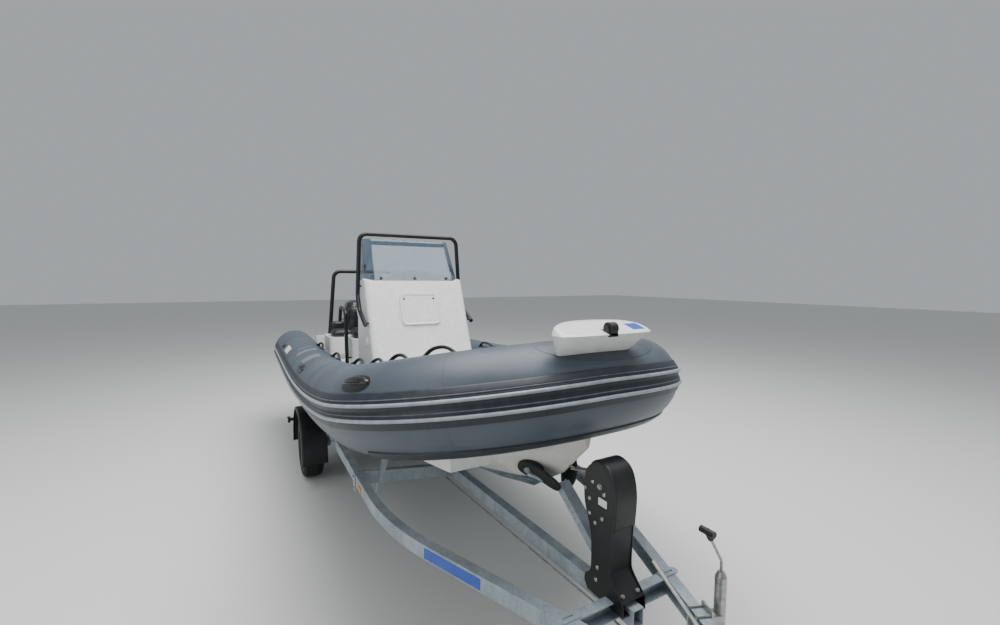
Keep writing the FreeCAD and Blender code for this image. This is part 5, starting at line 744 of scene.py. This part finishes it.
def bar(centre, across, widths, heights, count=24):
    """Oval bar along a line: at each point, width times (cos t) across and height times (sin t) square to
    it. Rows follow the line, columns go round; both ends are closed at their middle."""
    run = unit(np.gradient(centre, axis=0))
    over = unit(np.cross(run, across))
    level = np.cross(over, run)
    t = np.linspace(0, 2 * np.pi, count, endpoint=False)
    w, h = (np.broadcast_to(v, len(centre))[:, None, None] for v in (widths, heights))
    t = t[None, :, None]
    return capped(centre[:, None] + w * np.cos(t) * level[:, None] + h * np.sin(t) * over[:, None])


# distance of each handle from the middle of the bow along the axis, and its length
HANDLES = ((0.730, 0.210), (1.090, 0.260), (1.500, 0.300), (2.000, 0.300), (2.900, 0.300), (3.800, 0.300))
HANDLE_TILT, HANDLE_RISE = math.radians(24.0), 0.046
half_axis = AXIS[:len(AXIS) // 2 + 1][::-1]
half_out, half_up = collar_frame(half_axis)[1:]
from_bow = lengths(half_axis)
s = np.linspace(-1, 1, 41)
rise = HANDLE_RISE * (1 - np.abs(s) ** 2.4)
foot = np.clip((np.abs(s) - 0.8) / 0.2, 0, 1) ** 2
for number, (distance, length) in enumerate(HANDLES, 1):
    centre, out, up = (sampled(v, from_bow, distance + length / 2 * s) for v in (half_axis, -half_out, half_up))
    away = -out * math.sin(HANDLE_TILT) + up * math.cos(HANDLE_TILT)
    line = centre + away * (COLLAR_R + rise)[:, None]
    for side, name in ((1, "starboard"), (-1, "port")):
        mirror = np.array([1, side, 1])
        grid = bar(line * mirror, away[20] * mirror, 0.009, 0.012 + 0.014 * foot)
        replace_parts(skin(f"grab_handle_{name}_{number}", grid, rubber, (False, True)), "grab_handles")


# Stem pads: a long leaf of moulded black rubber on each arm of the stem support, so that the bow rests on
# rubber from the pad down to the strut's head.

PAD_OUT = unit(np.array([0.38, -0.62, -0.69]))
leaf = curve([(1.500, -0.150, 0.972), (1.545, -0.122, 0.952), (1.600, -0.086, 0.918), (1.648, -0.050, 0.886),
              (1.676, -0.032, 0.866)], 41)
k = np.linspace(0, 1, 41)
leaf_half = 0.010 + 0.052 * np.sqrt(np.clip(1 - (2 * k - 1) ** 2, 0, 1))
for name, side in (("starboard", 1), ("port", -1)):
    mirror = np.array([1, side, 1])
    grid = bar(leaf * mirror, PAD_OUT * mirror, 0.006 + 0.26 * (leaf_half - 0.008), leaf_half, 32)
    skin("stem_pad_leaf_" + name, grid, rubber, (False, True))


# Console rail, seat rails and stern arch: bent steel tube in black powder coat, flanged and screwed down. The
# coat's fine orange peel blurs the lights along the bends.

tube_black, shader, place = finish("satin_black_tube", "#0c0d0e", 0.0, 0.34)
peel = add(tube_black, "TexNoise", {"Vector": place, "Scale": 320.0, "Detail": 1.0}).outputs[0]
relief(tube_black, shader, peel, 0.0004, 0.3)
coat(tube_black, "console_rail", "seat_rails", "stern_arch")


# Console hatch: a moulded panel with a raised rim, hinged at its top, with two dark finger screws under the
# hinge. The rim is part of the same white gelcoat moulding.

FACE_FOOT, FACE_TOP = np.array([-0.246, 0, 0.980]), np.array([-0.625, 0, 1.926])
FACE_UP = unit(FACE_TOP - FACE_FOOT)
FACE_OUT = np.cross((0, 1.0, 0), FACE_UP)


def on_face(across, up, height=0.0):
    """Points on the sloping front face: distance to port, up the slope, and out from it."""
    across, up, height = (np.asarray(v, float)[..., None] for v in np.broadcast_arrays(across, up, height))
    return FACE_FOOT + across * np.array([0, 1.0, 0]) + up * FACE_UP + height * FACE_OUT


def rim(name, outline, profile, material, body="root"):
    """Profile of (distance inwards, height) carried round an outline on the face. Each corner moves along
    the outline's own inward normal."""
    edge = np.roll(outline, -1, axis=0) - np.roll(outline, 1, axis=0)
    inward = unit(np.stack([-edge[:, 1], edge[:, 0]], axis=1))
    inset, height = np.asarray(profile, float).T
    flat = outline[:, None] + inward[:, None] * inset[None, :, None]
    grid = on_face(flat[..., 0], flat[..., 1], np.broadcast_to(height, flat.shape[:2]))
    return skin(name, grid, material, (True, True), body, 40.0)


# name, half width, from and to up the slope, corner radius, section and body
HATCH_RIMS = (
    ("rim", 0.183, 0.592, 0.888, 0.055,
     [(0, 0.010), (0, 0.0145), (0.002, 0.0165), (0.014, 0.0165), (0.017, 0.0145), (0.018, 0.010)], "hatch"),
    ("groove", 0.150, 0.624, 0.856, 0.04,
     [(0, 0.011), (0.0005, 0.0132), (0.002, 0.0138), (0.004, 0.0132), (0.0045, 0.011)], "hatch"),
    ("frame", 0.197, 0.578, 0.906, 0.065,
     [(0, -0.001), (0.001, 0.003), (0.003, 0.004), (0.009, 0.004), (0.0105, 0.003), (0.0105, -0.001)], "root"))
for name, half, low, high, radius, profile, body in HATCH_RIMS:
    rim("hatch_" + name, oblong((-half, low), (half, high), radius, 9), profile, gelcoat, body)
studs("hatch_screws", on_face([-0.142, 0.142], 0.842, 0.012), FACE_OUT, DOME, 20, moulded, "hatch")


# Instrument cowl: a white moulded ledge over the console's top behind the screen, with a raised middle.
# Laid up in a mould with the same gelcoat, bonded to the console.

COWL_HALF, HUMP_HALF = 0.405, 0.225
COWL_END, HUMP_END = 0.05, 0.07         # over which the ledge and the hump come up to their height
LEDGE_RISE, HUMP_RISE = 0.058, 0.046


def cowl_height(y):
    """Height over the console's top edge: a ledge with rounded ends and a smooth hump in the middle."""
    ledge = np.clip((COWL_HALF - np.abs(y)) / COWL_END, 0, 1)
    hump = np.clip((HUMP_HALF - np.abs(y)) / HUMP_END, 0, 1)
    return LEDGE_RISE * np.sqrt(1 - (1 - ledge) ** 2) + HUMP_RISE * hump ** 2 * (3 - 2 * hump)


cowl_end = COWL_HALF - COWL_END * (1 - np.cos(np.linspace(np.pi / 2, 0, 10)))
cowl_y = np.concatenate([-cowl_end[::-1], np.linspace(-0.345, 0.345, 70), cowl_end])[:, None]
cowl_profile = curve([(-0.668, -0.020), (-0.680, 0.30), (-0.694, 0.80), (-0.716, 0.98), (-0.760, 1.0), (-0.800, 0.93),
                      (-0.826, 0.60), (-0.838, 0.20), (-0.842, -0.10)], 40)
cowl_x, cowl_k = cowl_profile[None, :, 0], cowl_profile[None, :, 1]
cowl_arch = 0.010 * np.sin(np.clip((-0.640 - cowl_x) / 0.15, 0, 1) * np.pi)
cowl_base = 1.926 + cowl_arch - 0.28 * np.clip(-0.790 - cowl_x, 0, 1)
cowl_z = cowl_base - 0.004 + cowl_k * cowl_height(cowl_y)
cowl_shape = np.stack([cowl_x + 0 * cowl_y, cowl_y + 0 * cowl_x, cowl_z], axis=-1)
skin("instrument_cowl", capped(cowl_shape), gelcoat, (False, True), sharp=60.0)


# Side vent: a round moulded ventilator on the console's starboard side, in the same white as the console, with
# a raised ring round a domed middle.

VENT = [(0, -0.002), (0.044, -0.002), (0.044, 0.004), (0.038, 0.009), (0.033, 0.009), (0.032, 0.004), (0.026, 0.004),
        (0.025, 0.008), (0.014, 0.010), (0, 0.010)]
studs("side_vent", [(-0.582, -0.4755, 1.385)], (0, -1, 0), VENT, 40, gelcoat)


# Steering wheel: a rim and spokes moulded in black plastic over a steel core, on the dash's sloping face. It
# has the mudguards' fine grain, which keeps it from shining.

coat(grained, "steering_wheel")


# Windscreen: cast acrylic in smoke blue, heated and bent, and held at its lower edge by three black moulded
# fixings. Fine dust makes it a little hazy in places.

acrylic = patterned("smoke_tinted_acrylic", "#8fa4b3", 0.0, 0.03, 40.0, 4.0, ((0.3, "#8a9fae"), (0.7, "#94a9b8")),
                    (0.02, 0.07), Transmission_Weight=0.92, IOR=1.49)
coat(acrylic, "windscreen")
SCREEN_LEAN = (0.883, 0, 0.470)
studs("screen_fixings", [(-0.6535, y, 1.956) for y in (-0.32, 0.0, 0.32)], SCREEN_LEAN,
      [(0, -0.012), (0.015, -0.012), (0.015, 0.003), (0.011, 0.007), (0, 0.0075)], 24, moulded)


# Cushions: foam blocks in sewn covers of black marine leatherette, with a piped seam round the upper edge.
# The pressed pebble grain gives a soft, broken shine; real pores are 1 mm, drawn at 2.4 mm so that they show.

leatherette, shader, place = finish("black_marine_leatherette", "#17181a", 0.0, 0.44)
pores = add(leatherette, "TexVoronoi", {"Vector": place, "Scale": 420.0}).outputs[0]
creases = add(leatherette, "TexNoise", {"Vector": place, "Scale": 13.0, "Detail": 6.0}).outputs[0]
link(leatherette, shade(leatherette, creases, ((0.35, "#131416"), (0.75, "#202225"))), shader, "Base Color")
link(leatherette, span(leatherette, creases, 0.38, 0.56), shader, "Roughness")
pebbles = add(leatherette, "Math", {0: pores, 1: 0.12, 2: creases}, operation="MULTIPLY_ADD").outputs[0]
relief(leatherette, shader, pebbles, 0.003, 0.5)
SQUARE = 0.36                   # a small power squares the cushions' outlines


def pillow(low, high, power=SQUARE, rows=64, columns=96):
    """Crowned box: a superellipsoid between two corners. With latitude v and longitude u its point is the
    half size times (cos v cos u, cos v sin u, sin v), each part raised to a small power."""
    low, high = np.asarray(low), np.asarray(high)
    v = np.linspace(-np.pi / 2, np.pi / 2, rows)[:, None]
    u = np.linspace(0, 2 * np.pi, columns, endpoint=False)[None, :]
    parts = [np.cos(v) * np.cos(u), np.cos(v) * np.sin(u), np.sin(v) + 0 * u]
    parts = np.stack([np.sign(p) * np.abs(p) ** power for p in parts], axis=-1)
    return (low + high) / 2 + (high - low) / 2 * parts


def places_of(mesh):
    """A mesh's points as an array of rows."""
    flat = np.empty(len(mesh.vertices) * 3)
    mesh.vertices.foreach_get("co", flat)
    return flat.reshape(-1, 3)


def swollen(piece, low, high, cap):
    """Swells a cushion by cloth pressure: 6 mm cells, 20 frames, each point moved by at most the cap and
    kept between the two corners."""
    cells = piece.modifiers.new("cells", "REMESH")
    cells.mode, cells.voxel_size = "VOXEL", 0.006
    piece.data = bpy.data.meshes.new_from_object(piece.evaluated_get(bpy.context.evaluated_depsgraph_get()))
    piece.modifiers.clear()
    start = places_of(piece.data)
    cloth = piece.modifiers.new("swell", "CLOTH")
    cloth.settings.use_pressure = True
    cloth.settings.uniform_pressure_force = 4.0
    cloth.settings.effector_weights.gravity = 0
    cloth.collision_settings.use_collision = False
    for frame_number in range(1, 21):
        bpy.context.scene.frame_set(frame_number)
    moved = places_of(piece.evaluated_get(bpy.context.evaluated_depsgraph_get()).data) - start
    piece.modifiers.clear()
    length = np.linalg.norm(moved, axis=1, keepdims=True)
    ends = start + moved * np.minimum(1, cap / np.maximum(length, 1e-9))
    piece.data.vertices.foreach_set("co", np.clip(ends, low, high).ravel())
    piece.data.update()
    piece.data.shade_smooth()
    bpy.context.scene.frame_set(1)


# lowest and highest corner of each, metres
CUSHIONS = {"helm_seat_cushion": ((-1.658, -0.442, 1.3203), (-1.308, 0.442, 1.420)),
            "helm_backrest": ((-1.796, -0.430, 1.3203), (-1.670, 0.430, 1.665)),
            "bench_cushion": ((-2.490, -0.520, 1.2453), (-2.146, 0.520, 1.325)),
            "bench_backrest": ((-2.596, -0.480, 1.2453), (-2.502, 0.480, 1.430))}
SHRINK = 0.010                  # start of the swelling, inside the finished size
SWELL_CAP = 0.016
PIPING_R = 0.0032
for name, (low, high) in CUSHIONS.items():
    low, high = np.array(low), np.array(high)
    start = pillow(low + SHRINK * np.array([1, 1, 0]), high - SHRINK)
    cushion = skin(name, start, leatherette, (False, True), sharp=80.0)
    swollen(cushion, low, high, SWELL_CAP)
    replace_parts(cushion, "seat_cushions")
    # the piping: a loop round the cushion at 0.7 of its thickness, brought to the nearest points and smoothed
    across, along, through = (1, 2, 0) if name.endswith("backrest") else (1, 0, 2)
    t = np.linspace(0, 2 * np.pi, 241)
    middle, half = (low + high) / 2, (high - low) / 2
    loop = np.tile(middle, (241, 1))
    for axis, wave in ((across, np.cos(t)), (along, np.sin(t))):
        loop[:, axis] += half[axis] * np.sign(wave) * np.abs(wave) ** SQUARE
    loop[:, through] = high[through] - 0.3 * (high - low)[through]
    points = places_of(cushion.data)
    nearest = points[np.argmin(((loop[:, None, :] - points[None, ::2, :]) ** 2).sum(axis=2), axis=1) * 2]
    smooth = sum(np.roll(nearest[:-1], k, axis=0) for k in range(-3, 4)) / 7
    seam = bar(np.vstack([smooth, smooth[:1]]), np.eye(3)[through], PIPING_R, PIPING_R, 10)
    skin(name + "_piping", seam, leatherette, (False, True), sharp=80.0)


# Bow step: a white moulding bonded over the nose of the tube, with flared sides, a top that falls
# towards the nose, and a slot for the anchor line's roller. Glossy gelcoat with softly rounded edges.

STEP_TOP, STEP_KNUCKLE, STEP_LOW = 1.756, 1.708, 1.591
STEP_AFT, STEP_FRONT, STEP_FALL = 1.798, 2.010, 0.31
step_side = curve([(0.0, 0.0), (0.002, 0.045), (0.012, 0.090), (0.052, 0.180), (0.095, 0.254), (0.118, 0.270),
                   (0.142, 0.273), (0.170, 0.270), (0.190, 0.254), (0.199, 0.215), (0.206, 0.150), (0.2105, 0.070),
                   (0.212, 0.0)], 72)
step_plan = np.vstack([step_side, step_side[-2:0:-1] * (1, -1)])
step_middle = np.array([0.050, 0.0])        # from here the rows are scaled


def step_top(x):
    """Height of the upper face: level aft of the crest, then falling by 0.31 of the way forward, with the
    crest rounded over 12 mm."""
    ahead = x - (STEP_FRONT - (STEP_TOP - STEP_KNUCKLE) / STEP_FALL)
    return STEP_TOP - STEP_FALL * (ahead + np.sqrt(ahead ** 2 + 0.012 ** 2)) / 2


# rows: how far out of the plan's middle, along and across, and from the knuckle (0) down to the seat (-1) or up
# to the top (1)
STEP_ROWS = [(0.0, 0.0, -1.0), (0.16, 0.76, -1.0), (0.32, 0.80, -0.82), (0.545, 0.865, -0.55), (0.765, 0.93, -0.28),
             (0.925, 0.978, -0.09), (0.985, 0.997, -0.02), (1.0, 1.0, 0.02), (0.998, 0.998, 0.08),
             (0.990, 0.985, 0.35), (0.980, 0.970, 0.65), (0.974, 0.962, 0.80), (0.964, 0.952, 0.91),
             (0.950, 0.938, 0.975), (0.930, 0.920, 1.0)] + [(k, k, 1.0) for k in (0.80, 0.60, 0.40, 0.20, 0.0)]
out, wide, rise = (v[:, None] for v in np.array(STEP_ROWS).T)
plan = step_middle + np.stack([out, wide], axis=-1) * (step_plan - step_middle)[None]
x, y = STEP_AFT + plan[..., 0], plan[..., 1]
z = STEP_KNUCKLE + rise * np.where(rise < 0, STEP_KNUCKLE - STEP_LOW, step_top(x) - STEP_KNUCKLE)
step = skin("bow_step_moulding", np.stack([x, y, z], axis=-1), gelcoat, (False, True), sharp=80.0)
slot_plan = [(1.948, -0.0273), (2.10, -0.0273), (2.10, 0.0273), (1.948, 0.0273)]
slot = slab("slot_cutter", slot_plan, ((0, 0, 1.697), (1, 0, 0), (0, 1, 0)), 0.12, gelcoat)
cut = step.modifiers.new("slot", "BOOLEAN")
cut.operation, cut.object, cut.solver = "DIFFERENCE", slot, "EXACT"
step.data = bpy.data.meshes.new_from_object(step.evaluated_get(bpy.context.evaluated_depsgraph_get()))
step.modifiers.clear()
bpy.data.objects.remove(slot)
step.data.set_sharp_from_angle(angle=math.radians(45))
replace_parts(step, "bow_step")
LABEL_X = 1.906
fall = unit(np.array([1.0, 0, -STEP_FALL]))
slab("step_label", oblong((0, 0), (0.070, 0.078), 0.004),
     ((LABEL_X, 0.155, step_top(LABEL_X) + 0.0002), fall, (0, 1, 0)), VINYL, blue_vinyl)
coat(rubber, "bow_roller")


# Outboard engine: aluminium castings in dark baked enamel under a glossy sprayed cowl. The enamel shows a
# slight orange peel, and the castings a film of salt and dust.

enamel = patterned("dark_engine_enamel", "#1b1d20", 0.1, 0.35, 16.0, 7.0, ((0.35, "#17191c"), (0.8, "#2b2e32")),
                   (0.28, 0.48), (0.0005, 0.3), grain=(240.0, 2.0), Coat_Weight=0.3)
coat(enamel, "engine_clamp", "engine_swivel", "engine_leg")
cowl_gloss = patterned("glossy_cowl_paint", "#15171a", 0.0, 0.2, 7.0, 7.0, ((0.35, "#111316"), (0.8, "#212429")),
                       (0.14, 0.3), Coat_Weight=0.6)
cast = patterned("cast_aluminium", "#7c7e80", 0.9, 0.4, 60.0, 5.0, ((0.3, "#6a6c6e"), (0.75, "#8e9092")),
                 (0.32, 0.52), (0.0005, 0.4))
coat(cast, "propeller")
stainless = patterned("polished_stainless_steel", "#b9bcbf", 1.0, 0.15, 35.0, 4.0,
                      ((0.3, "#a6a9ac"), (0.75, "#c3c6c9")), (0.1, 0.25))
coat(stainless, "bow_eye")

STEER_X, COWL_REAR, COWL_LOW, COWL_TOP = -3.112, -3.444, 1.2716, 1.640
# height, front x, rear x and half width of the cowl's sections
levels = np.array([(COWL_LOW, STEER_X - 0.020, STEER_X - 0.318, 0.120),
                   (COWL_LOW + 0.06, STEER_X + 0.040, COWL_REAR, 0.160),
                   (COWL_TOP - 0.12, STEER_X + 0.052, COWL_REAR + 0.008, 0.175),
                   (COWL_TOP - 0.03, STEER_X + 0.020, COWL_REAR + 0.040, 0.140),
                   (COWL_TOP, STEER_X - 0.05, COWL_REAR + 0.09, 0.090)])
z = np.concatenate([np.linspace(COWL_LOW, COWL_TOP - 0.12, 18), np.linspace(COWL_TOP - 0.11, COWL_TOP, 12)])
front, rear, half = (np.interp(z, levels[:, 0], levels[:, k]) for k in (1, 2, 3))
u = np.linspace(0, 2 * np.pi, 72, endpoint=False)
oval = [np.sign(f) * np.abs(f) ** 0.55 for f in (np.cos(u), np.sin(u))]
grid = np.stack([(front + rear)[:, None] / 2 + (front - rear)[:, None] / 2 * oval[0], half[:, None] * oval[1],
                 z[:, None] + 0 * u], axis=-1)
cowl = skin("engine_cowl_shell", capped(grid), cowl_gloss, (False, True), "engine")
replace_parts(cowl, "engine_cowl")

# the rubber seal at the cowl's parting line, and the air intake's louvres at its upper rear
seal_row = np.argmin(np.abs(z - (COWL_LOW + 0.072)))
seal = np.vstack([grid[seal_row], grid[seal_row][:1]])
skin("cowl_seal", bar(seal, (0, 0, 1.0), 0.0055, 0.0028, 12), rubber, (False, True), "engine")
for number in range(1, 6):
    height = COWL_TOP - 0.117 - 0.018 * number
    reach = np.interp(height, levels[:, 0], levels[:, 2])
    slab(f"intake_louvre_{number}", oblong((-0.075, -0.004), (0.075, 0.004), 0.003),
         ((reach - 0.0035, 0, height), (0, -1, 0), (0, 0, 1)), -0.008, grained, 0.001, "engine")


# Floor, light and camera: a pale matt studio floor, a large soft light overhead and a weak one from starboard.
# The camera stands where the photograph's did, a little above the bow.

FLOOR_HALF = 40
floor_mesh = bpy.data.meshes.new("floor")
corners = [(x * FLOOR_HALF, y * FLOOR_HALF, 0) for x, y in ((-1, -1), (1, -1), (1, 1), (-1, 1))]
floor_mesh.from_pydata(corners, [], [(0, 1, 2, 3)])
floor = bpy.data.objects.new("floor", floor_mesh)
bpy.context.scene.collection.objects.link(floor)
concrete, shader, place = finish("pale_studio_floor", "#d6d6d3", 0.0, 0.8)
floor_mesh.materials.append(concrete)

world = bpy.data.worlds.new("overcast_studio")
world.use_nodes = True
sky = world.node_tree.nodes["Background"].inputs
sky["Color"].default_value = linear("#dfe5ea")
sky["Strength"].default_value = 0.55
bpy.context.scene.world = world


def softbox(name, place, target, size, power):
    """A square area light of one size, aimed at a point."""
    data = bpy.data.lights.new(name, "AREA")
    data.energy = power
    data.size = size
    lamp = bpy.data.objects.new(name, data)
    aim = (Vector(target) - Vector(place)).to_track_quat("-Z", "Y").to_matrix().to_4x4()
    lamp.matrix_world = Matrix.Translation(place) @ aim
    bpy.context.scene.collection.objects.link(lamp)


softbox("overhead", (0.5, 0.5, 7.5), (0.0, 0.0, 0.5), 7.0, 980.0)
softbox("from_starboard", (3.0, -7.5, 4.5), (0.0, 0.0, 0.9), 5.0, 150.0)

CAMERA_PLACE = Vector((3.5, -1.433, 1.95))
AZIMUTH, PITCH, ROLL = (math.radians(a) for a in (60.36, -4.19, 0.325))
FOCAL_PIXELS, PICTURE_WIDTH = 453.84, 1000
forward = Vector((-math.sin(AZIMUTH) * math.cos(PITCH), math.cos(AZIMUTH) * math.cos(PITCH), math.sin(PITCH)))
level = Vector((math.cos(AZIMUTH), math.sin(AZIMUTH), 0))
upward = level.cross(forward)
right = level * math.cos(ROLL) + upward * math.sin(ROLL)
top = upward * math.cos(ROLL) - level * math.sin(ROLL)
lens_data = bpy.data.cameras.new("camera")
lens_data.sensor_width = 36.0
lens_data.lens = FOCAL_PIXELS / PICTURE_WIDTH * lens_data.sensor_width
camera = bpy.data.objects.new("camera", lens_data)
camera.matrix_world = Matrix.Translation(CAMERA_PLACE) @ Matrix((right, top, -forward)).transposed().to_4x4()
bpy.context.scene.collection.objects.link(camera)
bpy.context.scene.camera = camera
